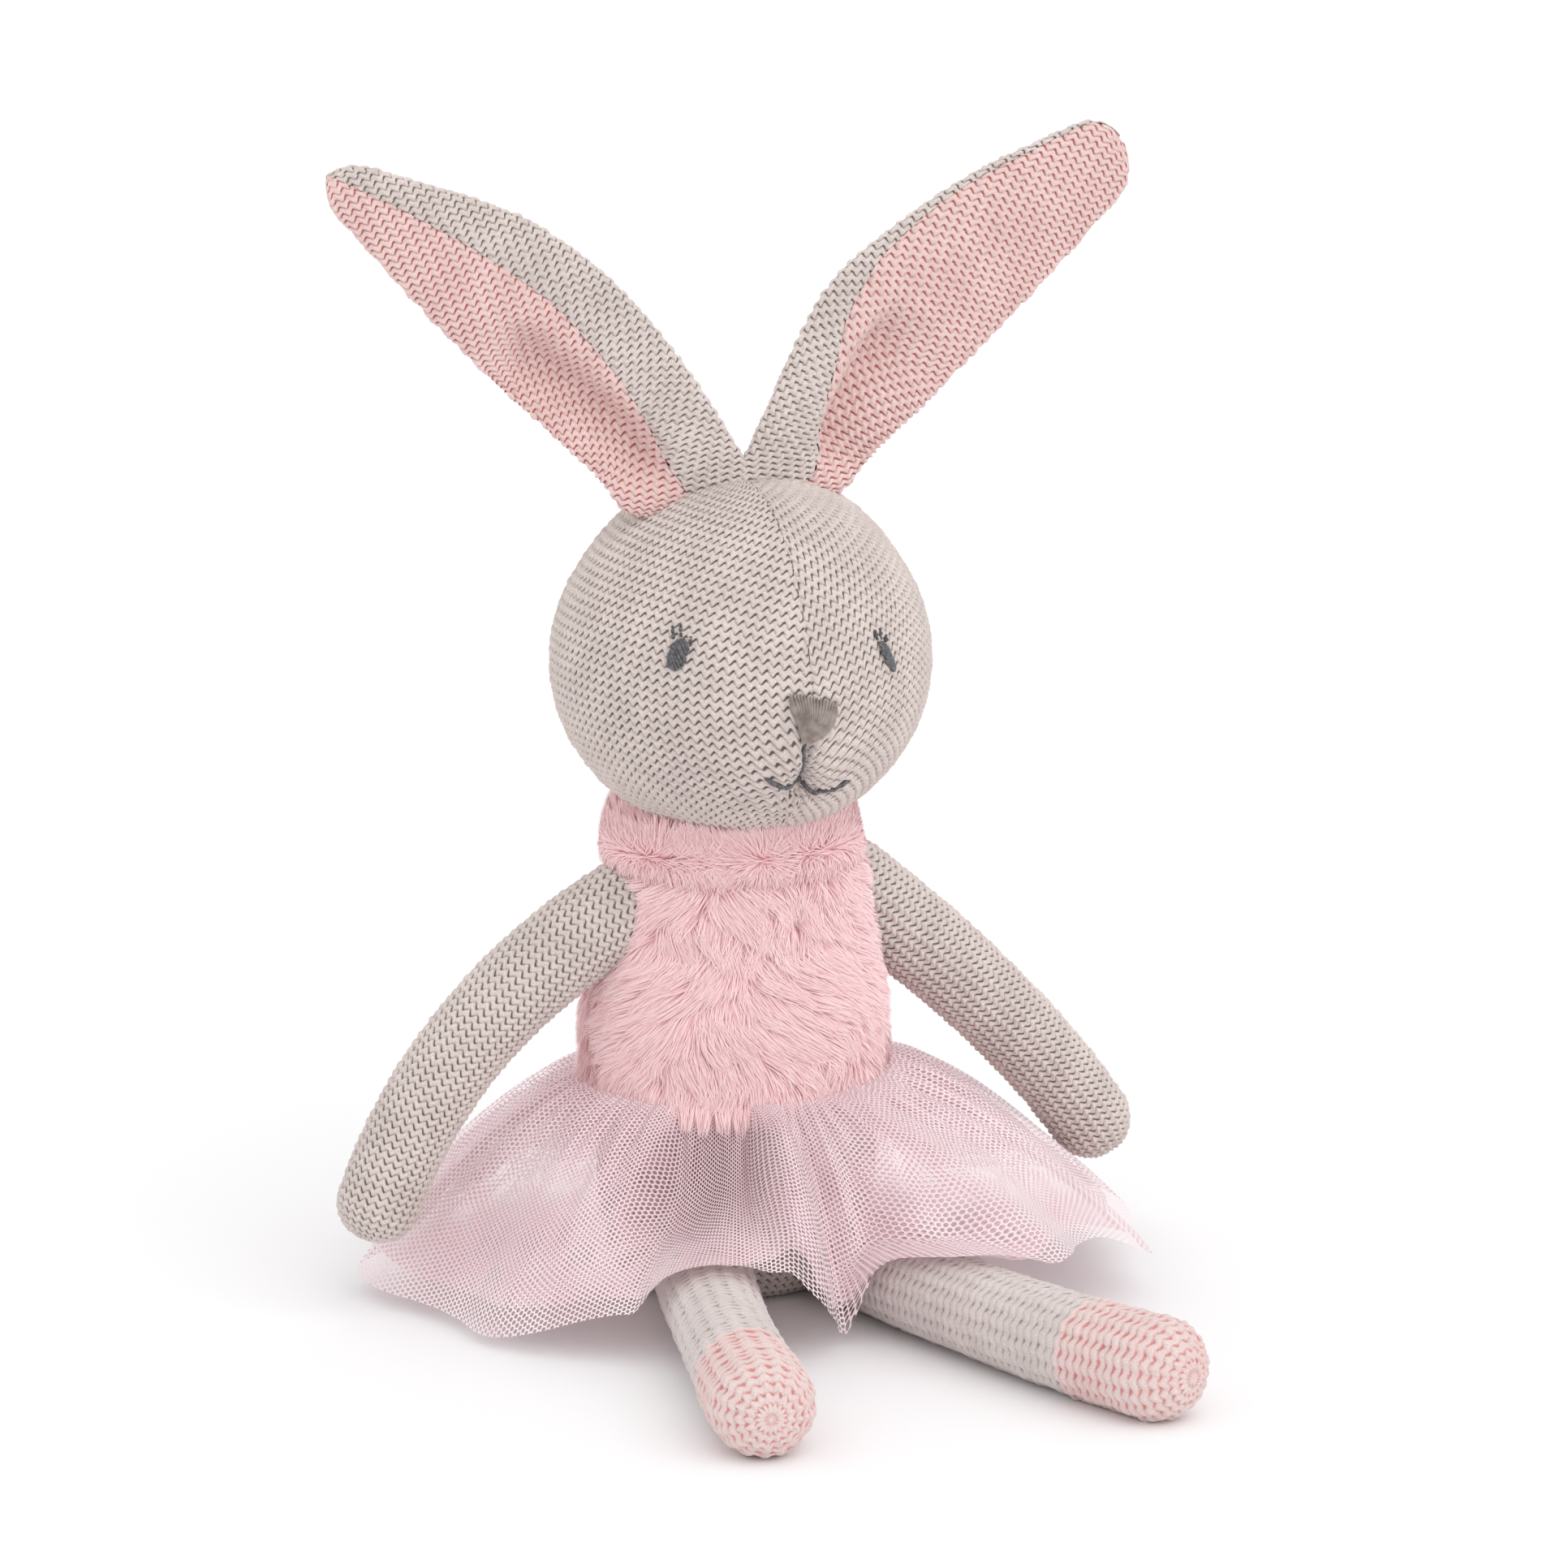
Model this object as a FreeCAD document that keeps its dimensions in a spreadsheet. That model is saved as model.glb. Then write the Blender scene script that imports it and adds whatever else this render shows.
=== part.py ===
import FreeCAD, Part
import math
import os

# A seated stuffed bunny.  It faces -Y, its left side is +X, and it sits on Z = 0.
# The origin is the middle of the flat seat.  All sizes are millimetres.

Vec = FreeCAD.Vector

# Driving dimensions.  Every cell has an alias of the same name.
DIMENSIONS = {
    "head_half_width": 47.0,
    "head_half_depth": 44.5,
    "head_half_height": 43.5,
    "head_centre_height": 160.0,
    "head_centre_forward": 3.0,
    "knit_thickness": 2.0,
    "plush_thickness": 4.0,
    "embroidery_thickness": 0.8,
    "torso_half_width": 36.0,
    "torso_half_depth": 30.0,
    "waist_height": 54.0,
    "collar_low": 110.0,
    "collar_high": 118.4,
    "neck_radius": 15.0,
    "neck_low": 98.0,
    "neck_high": 115.6,
    "running_gap": 0.6,
    "shoulder_reach": 29.0,
    "shoulder_height": 99.0,
    "arm_root_radius": 11.5,
    "arm_radius": 10.5,
    "hand_radius": 10.0,
    "hip_reach": 17.0,
    "hip_forward": 15.0,
    "hip_radius": 12.0,
    "leg_radius": 11.2,
    "foot_radius": 12.3,
    "slipper_length": 34.0,
    "ear_half_width": 18.5,
    "ear_half_thickness": 5.0,
    "ear_reach": 13.0,
    "waistband_thickness": 1.4,
    "waistband_height": 7.0,
    "tulle_thickness": 0.6,
    "tulle_gap": 2.4,
    "tutu_side_reach": 94.0,
    "tutu_front_reach": 86.0,
    "tutu_side_hem": 9.0,
    "tutu_front_hem": 31.0,
    "eye_half_width": 2.9,
    "eye_half_height": 4.2,
    "nose_half_width": 5.4,
    "mouth_arc_radius": 6.5,
    "thread_width": 1.2,
}
SHEET_NAME = "Dimensions"

os.makedirs("parts", exist_ok=True)
doc = FreeCAD.newDocument("StuffedBunny")
sheet = doc.addObject("Spreadsheet::Sheet", SHEET_NAME)
for row, (alias, size) in enumerate(DIMENSIONS.items(), start=1):
    sheet.set(f"A{row}", alias)
    sheet.set(f"B{row}", str(size))
    sheet.setAlias(f"B{row}", alias)
doc.recompute()

nodes = []


def cell(alias):
    """The number in the sheet's cell of that name."""
    return float(sheet.get(alias))


def formula(text):
    """An expression in which every word that is a cell's alias points at the sheet."""
    words = []
    for word in text.split():
        words.append(f"{SHEET_NAME}.{word}" if word in DIMENSIONS else word)
    return " ".join(words)


def item(kind, name, placement=None, **sizes):
    """A new object of that kind, with its sizes bound to the sheet."""
    made = doc.addObject(kind, name)
    for size_name, text in sizes.items():
        made.setExpression(size_name, formula(text))
    if placement is not None:
        made.Placement = placement
    return made


def at(x=0.0, y=0.0, z=0.0, turn=None):
    return FreeCAD.Placement(Vec(x, y, z), turn or FreeCAD.Rotation())


def cut(name, base, *tools):
    """The base without each of the tools."""
    for number, tool in enumerate(tools, start=1):
        last = number == len(tools)
        made = doc.addObject("Part::Cut", name if last else f"{name}_step_{number}")
        made.Base = base
        made.Tool = tool
        base = made
    return base


def common(name, base, tool):
    made = doc.addObject("Part::Common", name)
    made.Base = base
    made.Tool = tool
    return made


def fuse(name, *shapes):
    made = doc.addObject("Part::MultiFuse", name)
    made.Shapes = list(shapes)
    return made


def node(label, made):
    """Marks an object as a finished sub-part, which is written to a file of that name."""
    made.Label = label
    nodes.append(made)
    return made


def ring(name, centre, along, across, wide, thick):
    """An ellipse round centre, square to along, with its long axis near across."""
    square = along.cross(across)
    turn = FreeCAD.Rotation(across, square, along, "ZYX")
    place = FreeCAD.Placement(centre, turn)
    return item("Part::Ellipse", name, place, MajorRadius=wide, MinorRadius=thick)


def loft(name, rings, ruled=False):
    """A solid through the rings: smooth, or ruled where rings lie close together."""
    made = doc.addObject("Part::Loft", name)
    made.Sections = rings
    made.Solid = True
    made.Ruled = ruled
    return made


def box(name, low, high):
    """A box between two corners."""
    made = doc.addObject("Part::Box", name)
    made.Length = high[0] - low[0]
    made.Width = high[1] - low[1]
    made.Height = high[2] - low[2]
    made.Placement = at(*low)
    return made


def bezier(points, share):
    """The place at that share of a curve with three control points, and its direction."""
    start, middle, end = points
    rest = 1.0 - share
    place = start * rest**2 + middle * (2 * rest * share) + end * share**2
    direction = (middle - start) * rest + (end - middle) * share
    return place, direction.normalize()


WORLD = 400.0  # far outside the toy
UP = Vec(0, 0, 1)
RIGHTWARDS = Vec(1, 0, 0)
CAP_ANGLES = (78.0, 56.0, 37.0, 18.0)  # the rings that round off the end of a limb
LIMB_STEPS = 8  # the rings along a limb divide it into this many

# ---------------------------------------------------------------- torso

# Height, and the half-width and half-depth as shares of the torso's own.
TORSO_RINGS = (
    (0.0, 0.66, 0.66),
    (3.0, 0.80, 0.80),
    (10.0, 0.93, 0.93),
    (25.0, 1.00, 1.00),
    (54.0, 1.00, 0.98),
    (76.0, 0.99, 0.97),
    (95.0, 0.89, 0.90),
    (110.0, 0.83, 0.88),
)


def torso_loft(name, grow="", lift=0.0):
    """The torso's outline, grown by a formula, with its bottom lifted."""
    rings = []
    for number, (height, wide, deep) in enumerate(TORSO_RINGS):
        rings.append(
            ring(
                f"{name}_ring_{number}",
                Vec(0, 0, lift if number == 0 else height),
                UP,
                RIGHTWARDS,
                f"torso_half_width * {wide} {grow}",
                f"torso_half_depth * {deep} {grow}",
            )
        )
    return loft(name, rings)


side_signs = {"left": 1.0, "right": -1.0}
SEAT_THICKNESS = 2.5
SHOULDER_THROAT = 5.0  # how far inside the root of an arm its room starts to widen

# Three control points for each limb, in the order root, middle, tip.
ARM_PATHS = {
    "left": (
        Vec(cell("shoulder_reach"), 0, cell("shoulder_height")),
        Vec(75, 2, 62),
        Vec(98, 5, 29),
    ),
    "right": (
        Vec(-cell("shoulder_reach"), 0, cell("shoulder_height")),
        Vec(-76, 2, 76),
        Vec(-93, 5, 29),
    ),
}
hip_height = cell("foot_radius")
LEG_PATHS = {
    "left": (
        Vec(cell("hip_reach"), -cell("hip_forward"), hip_height),
        Vec(25, -88, hip_height),
        Vec(50, -143, hip_height),
    ),
    "right": (
        Vec(-cell("hip_reach"), -cell("hip_forward"), hip_height),
        Vec(-37, -79, hip_height),
        Vec(-48, -133, hip_height),
    ),
}

torso_outer = torso_loft("torso_outer")
torso_inner = torso_loft("torso_inner", "- plush_thickness", lift=SEAT_THICKNESS)
torso_shell = cut("torso_shell", torso_outer, torso_inner)


def shoulder_room(side):
    """The space in which the root of an arm turns."""
    root = ARM_PATHS[side][0]
    ball = item(
        "Part::Sphere",
        f"shoulder_ball_{side}",
        FreeCAD.Placement(root, FreeCAD.Rotation()),
        Radius="arm_root_radius + 2 * running_gap",
    )
    outward = Vec(side_signs[side], 0, 0)
    turn = FreeCAD.Rotation(UP, outward)
    throat = item(
        "Part::Cylinder",
        f"shoulder_throat_{side}",
        FreeCAD.Placement(root - outward * SHOULDER_THROAT, turn),
        Radius="arm_root_radius + 6 * running_gap",
        Height="shoulder_reach",
    )
    mouth = item(
        "Part::Cylinder",
        f"shoulder_mouth_{side}",
        FreeCAD.Placement(root, turn),
        Radius="arm_root_radius + 15 * running_gap",
        Height="shoulder_reach",
    )
    return fuse(f"shoulder_room_{side}", ball, throat, mouth)


def leg_direction(side):
    """The level direction in which a leg leaves its hip."""
    root, middle = LEG_PATHS[side][:2]
    return (middle - root).normalize()


def hip_room(side):
    """The space in which the root of a leg turns from level to straight down."""
    root = LEG_PATHS[side][0]
    forward = leg_direction(side)
    axle_direction = forward.cross(UP)
    reach = cell("hip_radius") + cell("running_gap")
    axle = item(
        "Part::Cylinder",
        f"hip_axle_{side}",
        FreeCAD.Placement(root - axle_direction * reach, FreeCAD.Rotation(UP, axle_direction)),
        Radius="hip_radius + running_gap",
        Height="2 * ( hip_radius + running_gap )",
    )
    turn = FreeCAD.Rotation(axle_direction, forward, UP, "ZYX")
    low = root - axle_direction * reach - UP * (2 * reach)
    level_slot = item(
        "Part::Box",
        f"hip_level_slot_{side}",
        FreeCAD.Placement(low, turn),
        Length="2 * ( hip_radius + running_gap )",
        Height="3 * ( hip_radius + running_gap )",
        Width="torso_half_depth * 2",
    )
    hanging_slot = item(
        "Part::Box",
        f"hip_hanging_slot_{side}",
        FreeCAD.Placement(low - forward * reach, turn),
        Length="2 * ( hip_radius + running_gap )",
        Height="2 * ( hip_radius + running_gap )",
        Width="2 * ( hip_radius + running_gap )",
    )
    return fuse(f"hip_room_{side}", axle, level_slot, hanging_slot)


shoulder_rooms = [shoulder_room(side) for side in side_signs]
hip_rooms = [hip_room(side) for side in side_signs]
neck_socket = item(
    "Part::Cylinder",
    "neck_socket",
    Radius="neck_radius + running_gap",
    Height="collar_high",
)
neck_socket.setExpression("Placement.Base.z", formula("neck_low - running_gap"))

node("torso_stuffing", cut("stuffing", torso_inner, *shoulder_rooms, *hip_rooms, neck_socket))

waist = cell("waist_height")
front_half = box("front_half", (-WORLD, -WORLD, waist), (WORLD, 0, WORLD))
back_half = box("back_half", (-WORLD, 0, waist), (WORLD, WORLD, WORLD))
below_waist = box("below_waist", (-WORLD, -WORLD, -WORLD), (WORLD, WORLD, waist))
front_shell = common("front_shell", torso_shell, front_half)
back_shell = common("back_shell", torso_shell, back_half)
seat_shell = common("seat_shell", torso_shell, below_waist)
node("bodice_front_panel", cut("bodice_front", front_shell, *shoulder_rooms, neck_socket))
node("bodice_back_panel", cut("bodice_back", back_shell, *shoulder_rooms, neck_socket))
node("hip_cover", cut("hip_shell", seat_shell, *hip_rooms))


# Share of the way up the collar, then half-width and half-depth as shares of the torso's own.
COLLAR_RINGS = (
    (0.0, 0.82, 0.87),
    (0.5, 0.88, 0.93),
    (1.0, 0.86, 0.91),
)
collar_rings = []
for number, (share, wide, deep) in enumerate(COLLAR_RINGS):
    height = cell("collar_low") * (1 - share) + cell("collar_high") * share
    collar_rings.append(
        ring(
            f"collar_ring_{number}",
            Vec(0, 0, height),
            UP,
            RIGHTWARDS,
            f"torso_half_width * {wide}",
            f"torso_half_depth * {deep}",
        )
    )
collar_outer = loft("collar_outer", collar_rings)
collar_hole = item(
    "Part::Cylinder",
    "collar_hole",
    Radius="neck_radius + 4",
    Height="collar_high",
)
collar_hole.setExpression("Placement.Base.z", formula("neck_low"))
node("collar_band", cut("collar", collar_outer, collar_hole, *shoulder_rooms))

neck_plug = item("Part::Cylinder", "neck_plug", Radius="neck_radius", Height="neck_high - neck_low")
neck_plug.setExpression("Placement.Base.z", formula("neck_low"))
node("neck_stuffing", neck_plug)

# ---------------------------------------------------------------- waistband and tutu

band_outer = torso_loft("band_outer", "+ waistband_thickness")
band_slice = box(
    "band_slice",
    (-WORLD, -WORLD, waist - cell("waistband_height")),
    (WORLD, WORLD, waist),
)
node("tutu_waistband", cut("waistband", common("band_part", band_outer, band_slice), torso_outer))

TUTU_SECTIONS = 36
FRONT_SECTOR = 48.0  # degrees each side of straight ahead in which the tulle lies on the legs
RUFFLES = 12
RUFFLE_DEPTH = 2.2
HEM_STEPS = (0.0, 0.30, 0.65, 1.0)
BAND_CLEARANCE = 0.3
FLARE = 0.9  # below 1 the tulle goes outward sooner
DROOP = 1.25  # above 1 it stays high for longer


def smooth_step(share):
    share = min(1.0, max(0.0, share))
    return share * share * (3 - 2 * share)


def tulle_point(angle, share, inset):
    """A point of the tulle: angle from straight ahead, share of the way to the hem."""
    away = abs((angle + 180) % 360 - 180)
    front = 1 - smooth_step((away - FRONT_SECTOR) / FRONT_SECTOR)
    sine = math.sin(math.radians(angle))
    cosine = math.cos(math.radians(angle))
    band = cell("waistband_thickness") + BAND_CLEARANCE
    root_width = cell("torso_half_width") + band
    root_depth = cell("torso_half_depth") + band
    root = Vec(root_width * sine, -root_depth * cosine, 0)
    reach = cell("tutu_side_reach") * (1 - front) + cell("tutu_front_reach") * front
    hem = Vec(reach * sine, -reach * cosine, 0)
    place = root + (hem - root) * share**FLARE
    top = waist - cell("waistband_height") / 2
    bottom = cell("tutu_side_hem") * (1 - front) + cell("tutu_front_hem") * front
    wave = RUFFLE_DEPTH * share * math.cos(math.radians(RUFFLES * angle))
    place.z = top + (bottom - top) * share**DROOP + wave - inset
    return place


def tulle_layer(label, inset):
    """A closed ring of thin radial sections, one for each step round the waist."""
    sections = []
    for number in range(TUTU_SECTIONS):
        angle = 360.0 * number / TUTU_SECTIONS
        upper = [tulle_point(angle, share, inset) for share in HEM_STEPS]
        lower = [point - UP * cell("tulle_thickness") for point in upper]
        top_curve = Part.BSplineCurve()
        top_curve.interpolate(upper)
        low_curve = Part.BSplineCurve()
        low_curve.interpolate(lower[::-1])
        edges = [
            top_curve.toShape(),
            Part.LineSegment(upper[-1], lower[-1]).toShape(),
            low_curve.toShape(),
            Part.LineSegment(lower[0], upper[0]).toShape(),
        ]
        sections.append(Part.Wire(edges))
    solid = Part.makeLoft(sections, True, False, True)
    made = doc.addObject("Part::Feature", label)
    made.Shape = solid
    made.Placement = FreeCAD.Placement()
    return node(label, made)


tulle_layer("tutu_outer_layer", 0.0)
tulle_layer("tutu_inner_layer", cell("tulle_gap"))

# ---------------------------------------------------------------- limbs


def limb_loft(name, path, radii, inset):
    """A round limb along its path.  radii are cells at the root, the middle and the tip."""
    stations = [(0.0, -angle) for angle in CAP_ANGLES]
    stations += [(step / LIMB_STEPS, 0.0) for step in range(LIMB_STEPS + 1)]
    stations += [(1.0, angle) for angle in reversed(CAP_ANGLES)]
    rings = []
    for number, (share, cap) in enumerate(stations):
        place, along = bezier(path, share)
        near = radii[0] if share < 0.5 else radii[1]
        far = radii[1] if share < 0.5 else radii[2]
        part = share * 2 if share < 0.5 else share * 2 - 1
        radius = cell(near) * (1 - part) + cell(far) * part - inset
        place = place + along * (radius * math.sin(math.radians(cap)))
        text = f"( {near} * {1 - part} + {far} * {part} - {inset} ) * {math.cos(math.radians(cap)):.4f}"
        rings.append(ring(f"{name}_ring_{number}", place, along, UP.cross(along), text, text))
    return loft(name, rings, ruled=True)


def limb(name, path, radii):
    """A limb's knitted cover and its stuffing, which fills the cover."""
    outer = limb_loft(f"{name}_outer", path, radii, 0.0)
    inner = limb_loft(f"{name}_inner", path, radii, cell("knit_thickness"))
    return cut(f"{name}_skin", outer, inner), inner


ARM_RADII = ("arm_root_radius", "arm_radius", "hand_radius")
LEG_RADII = ("hip_radius", "leg_radius", "foot_radius")

for side in side_signs:
    arm_skin, arm_filling = limb(f"arm_{side}", ARM_PATHS[side], ARM_RADII)
    node(f"arm_cover_{side}", arm_skin)
    node(f"arm_stuffing_{side}", arm_filling)

    leg_skin, leg_filling = limb(f"leg_{side}", LEG_PATHS[side], LEG_RADII)
    foot_centre, foot_direction = bezier(LEG_PATHS[side], 1.0)
    toe = foot_centre + foot_direction * cell("foot_radius")
    slipper_edge = item(
        "Part::Cylinder",
        f"slipper_edge_{side}",
        FreeCAD.Placement(
            toe - foot_direction * cell("slipper_length"),
            FreeCAD.Rotation(UP, foot_direction),
        ),
        Radius="3 * foot_radius",
        Height="2 * slipper_length",
    )
    node(f"slipper_{side}", common(f"slipper_skin_{side}", leg_skin, slipper_edge))
    node(f"leg_cover_{side}", cut(f"leg_skin_above_{side}", leg_skin, slipper_edge))
    node(f"leg_stuffing_{side}", leg_filling)

# ---------------------------------------------------------------- head

head_centre = Vec(0, -cell("head_centre_forward"), cell("head_centre_height"))


def head_ball(name, grow="", facing=-90.0, sweep=360.0):
    """An ellipsoid like the head, or a part of one that starts at facing and turns by sweep."""
    made = item(
        "Part::Ellipsoid",
        name,
        FreeCAD.Placement(head_centre, FreeCAD.Rotation(UP, facing)),
        Radius1=f"head_half_height {grow}",
        Radius2=f"head_half_depth {grow}",
        Radius3=f"head_half_width {grow}",
    )
    made.Angle3 = sweep
    return made


head_outer = head_ball("head_outer")
head_inner = head_ball("head_inner", "- knit_thickness")
for side, facing in (("left", -90.0), ("right", 90.0)):
    half = head_ball(f"head_half_{side}", "", facing, 180.0)
    node(f"head_panel_{side}", cut(f"head_skin_{side}", half, head_inner))
node("head_stuffing", head_inner)

# Embroidery stands a little proud of the knit, in a thin skin round the head.
thread_skin = cut("thread_skin", head_ball("thread_ball", "+ embroidery_thickness"), head_outer)
FORWARD_PLANE = FreeCAD.Rotation(Vec(1, 0, 0), Vec(0, 0, 1), Vec(0, -1, 0), "ZYX")
STITCH_REACH = 80.0  # from the head's middle plane to well in front of the face

# Azimuth from straight ahead and height above the head's centre, for each eye.
EYES = {"left": (31.0, 8.0), "right": (-40.0, 11.0)}
NOSE_TOP = 0.0
NOSE_FOOT = -12.0
MOUTH_HEIGHT = -22.0
SMILE_LIFT = 0.55  # the middle of each smile curve above the mouth, as a share of its radius
SMILE_CUT = 0.35  # how far below that middle a smile curve ends, as the same share
LASH_LENGTH = 4.5
LASH_GAP = 0.6
LASH_SPREAD = 1.5


def stitch_place(azimuth, height):
    """A frame on the head's axis that looks outward at that azimuth."""
    turn = FreeCAD.Rotation(UP, azimuth) * FORWARD_PLANE
    return FreeCAD.Placement(head_centre + UP * height, turn)


for side, (azimuth, height) in EYES.items():
    place = stitch_place(azimuth, height)
    outline = item(
        "Part::Ellipse",
        f"eye_outline_{side}",
        FreeCAD.Placement(place.Base, place.Rotation * FreeCAD.Rotation(UP, 90)),
        MajorRadius="eye_half_height",
        MinorRadius="eye_half_width",
    )
    prism = doc.addObject("Part::Extrusion", f"eye_prism_{side}")
    prism.Base = outline
    prism.DirMode = "Custom"
    prism.Dir = place.Rotation.multVec(UP)
    prism.LengthFwd = STITCH_REACH
    prism.Solid = True
    node(f"eye_{side}", common(f"eye_thread_{side}", thread_skin, prism))

    lashes = []
    for number, shift in enumerate((-LASH_SPREAD, LASH_SPREAD)):
        lash = item("Part::Box", f"lash_{side}_{number}", Length="thread_width / 2")
        lash.Width = LASH_LENGTH
        lash.Height = STITCH_REACH
        lash.Placement = place.multiply(at(shift, cell("eye_half_height") + LASH_GAP, 0))
        lashes.append(lash)
    node(
        f"lashes_{side}",
        common(f"lash_thread_{side}", thread_skin, fuse(f"lash_pair_{side}", *lashes)),
    )

nose_half = cell("nose_half_width")
nose_top = head_centre.z + NOSE_TOP
nose_foot = head_centre.z + NOSE_FOOT
nose_outline = [
    Vec(-nose_half, 0, nose_top),
    Vec(nose_half, 0, nose_top),
    Vec(0, 0, nose_foot),
]
nose_body = doc.addObject("PartDesign::Body", "nose_body")
nose_sketch = nose_body.newObject("Sketcher::SketchObject", "nose_sketch")
front_plane = next(f for f in nose_body.Origin.OriginFeatures if f.Role == "XZ_Plane")
nose_sketch.AttachmentSupport = (front_plane, [""])
nose_sketch.MapMode = "FlatFace"
for number in range(3):
    start = nose_outline[number]
    end = nose_outline[(number + 1) % 3]
    nose_sketch.addGeometry(Part.LineSegment(Vec(start.x, start.z, 0), Vec(end.x, end.z, 0)))
doc.recompute()
nose_pad = nose_body.newObject("PartDesign::Pad", "nose_pad")
nose_pad.Profile = nose_sketch
nose_pad.Length = STITCH_REACH
doc.recompute()
node("nose", common("nose_thread", thread_skin, nose_body))

mouth_centre = head_centre + UP * MOUTH_HEIGHT
smile_radius = cell("mouth_arc_radius")
strokes = []
for side, sign in side_signs.items():
    middle = mouth_centre + Vec(sign * smile_radius, 0, smile_radius * SMILE_LIFT)
    bands = []
    for edge, grow in (("outer", "+"), ("inner", "-")):
        band = item(
            "Part::Cylinder",
            f"smile_{edge}_{side}",
            FreeCAD.Placement(middle, FORWARD_PLANE),
            Radius=f"mouth_arc_radius {grow} thread_width / 2",
        )
        band.Height = STITCH_REACH
        bands.append(band)
    low = (middle.x - smile_radius * 2, -WORLD, middle.z - smile_radius * 2)
    high = (middle.x + smile_radius * 2, 0, middle.z - smile_radius * SMILE_CUT)
    lower_part = box(f"smile_part_{side}", low, high)
    strokes.append(common(f"smile_{side}", cut(f"smile_band_{side}", *bands), lower_part))
half_thread = cell("thread_width") / 2
philtrum = box(
    "philtrum",
    (-half_thread, -WORLD, mouth_centre.z - half_thread),
    (half_thread, 0, nose_foot),
)
node("mouth", common("mouth_thread", thread_skin, fuse("mouth_strokes", *strokes, philtrum)))

# ---------------------------------------------------------------- ears

# Share of the way to the tip, then half-width and half-thickness as shares of the ear's own.
EAR_RINGS = (
    (0.00, 0.70, 1.00),
    (0.10, 0.75, 1.00),
    (0.20, 0.83, 1.03),
    (0.32, 0.93, 1.05),
    (0.44, 0.99, 1.03),
    (0.55, 1.00, 1.00),
    (0.66, 0.95, 0.98),
    (0.76, 0.84, 0.95),
    (0.85, 0.67, 0.88),
    (0.92, 0.49, 0.78),
    (0.97, 0.31, 0.62),
    (1.00, 0.14, 0.40),
)
EAR_BEND = (45.0, 252.0)  # reach and height of the curve's middle control point
EAR_TIP = (103.0, 288.0)  # reach and height of the tip
UPRIGHT_SHARE = 0.3  # up to here the sections turn from the head's slope to the ear's own
EAR_BASE_ANGLES = (75.0, 42.0)  # the sections that round off an ear's base
THINNEST_WADDING = 0.3
TOUCHING = 0.01
FRONT = Vec(0, -1, 0)
ear_thickness = cell("ear_half_thickness")


def ear_base():
    """The root of the left ear, clear of the head, and the direction straight out of the head."""
    reach = cell("ear_reach")
    rise = cell("head_half_height") * math.sqrt(1 - (reach / cell("head_half_width")) ** 2)
    out = Vec(reach / cell("head_half_width") ** 2, 0, rise / cell("head_half_height") ** 2)
    out.normalize()
    surface = head_centre + Vec(reach, 0, rise)
    return surface + out * (ear_thickness + 2 * cell("running_gap")), out


def mirrored(vector, sign):
    return Vec(vector.x * sign, vector.y, vector.z)


def ear_stations(sign):
    """The frames of an ear's sections, each with its half-width and half-thickness."""
    root, out = ear_base()
    path = (
        mirrored(root, sign),
        Vec(EAR_BEND[0] * sign, root.y, EAR_BEND[1]),
        Vec(EAR_TIP[0] * sign, root.y, EAR_TIP[1]),
    )
    out = mirrored(out, sign)
    stations = [(0.0, EAR_RINGS[0][1], 1.0, -angle) for angle in EAR_BASE_ANGLES]
    stations += [(share, wide, thick, 0.0) for share, wide, thick in EAR_RINGS]
    found = []
    for share, wide, thick, cap in stations:
        place, along = bezier(path, share)
        blend = smooth_step(share / UPRIGHT_SHARE)
        along = (out * (1 - blend) + along * blend).normalize()
        pulled_in = ear_thickness * (1 - math.cos(math.radians(cap)))
        half_width = cell("ear_half_width") * wide - pulled_in
        half_thickness = ear_thickness * thick * math.cos(math.radians(cap))
        place = place + along * (ear_thickness * math.sin(math.radians(cap)))
        found.append((place, FRONT.cross(along), half_width, half_thickness))
    return found


def half_ellipse(place, across, facing, half_width, half_thickness):
    """The half of an ellipse that bulges towards facing, from +across to -across."""
    tops = (place + across * half_width, place + facing * half_thickness, place)
    if half_width > half_thickness:
        curve = Part.Ellipse(*tops)
    else:
        curve = Part.Ellipse(tops[1], tops[0], tops[2])
    ends = [place + across * half_width, place - across * half_width]
    middle = place + facing * half_thickness
    first, last = (curve.parameter(end) for end in ends)
    arc = curve.toShape(min(first, last), max(first, last))
    if arc.distToShape(Part.Vertex(middle))[0] > TOUCHING:
        arc = curve.toShape(max(first, last), min(first, last) + 2 * math.pi)
    return arc


def ear_half(label, sign, facing):
    """One knitted half of an ear: a shell that bulges towards facing round the wadding."""
    sections = []
    for place, across, half_width, half_thickness in ear_stations(sign):
        inner_width = max(THINNEST_WADDING, half_width - cell("knit_thickness"))
        inner_thickness = max(THINNEST_WADDING, half_thickness - cell("knit_thickness"))
        edges = [
            half_ellipse(place, across, facing, half_width, half_thickness),
            Part.LineSegment(place + across * half_width, place + across * inner_width).toShape(),
            half_ellipse(place, across, facing, inner_width, inner_thickness),
            Part.LineSegment(place - across * inner_width, place - across * half_width).toShape(),
        ]
        sections.append(Part.Wire(Part.__sortEdges__(edges)))
    made = doc.addObject("Part::Feature", label)
    made.Shape = Part.makeLoft(sections, True, True)
    return node(label, made)


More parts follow.
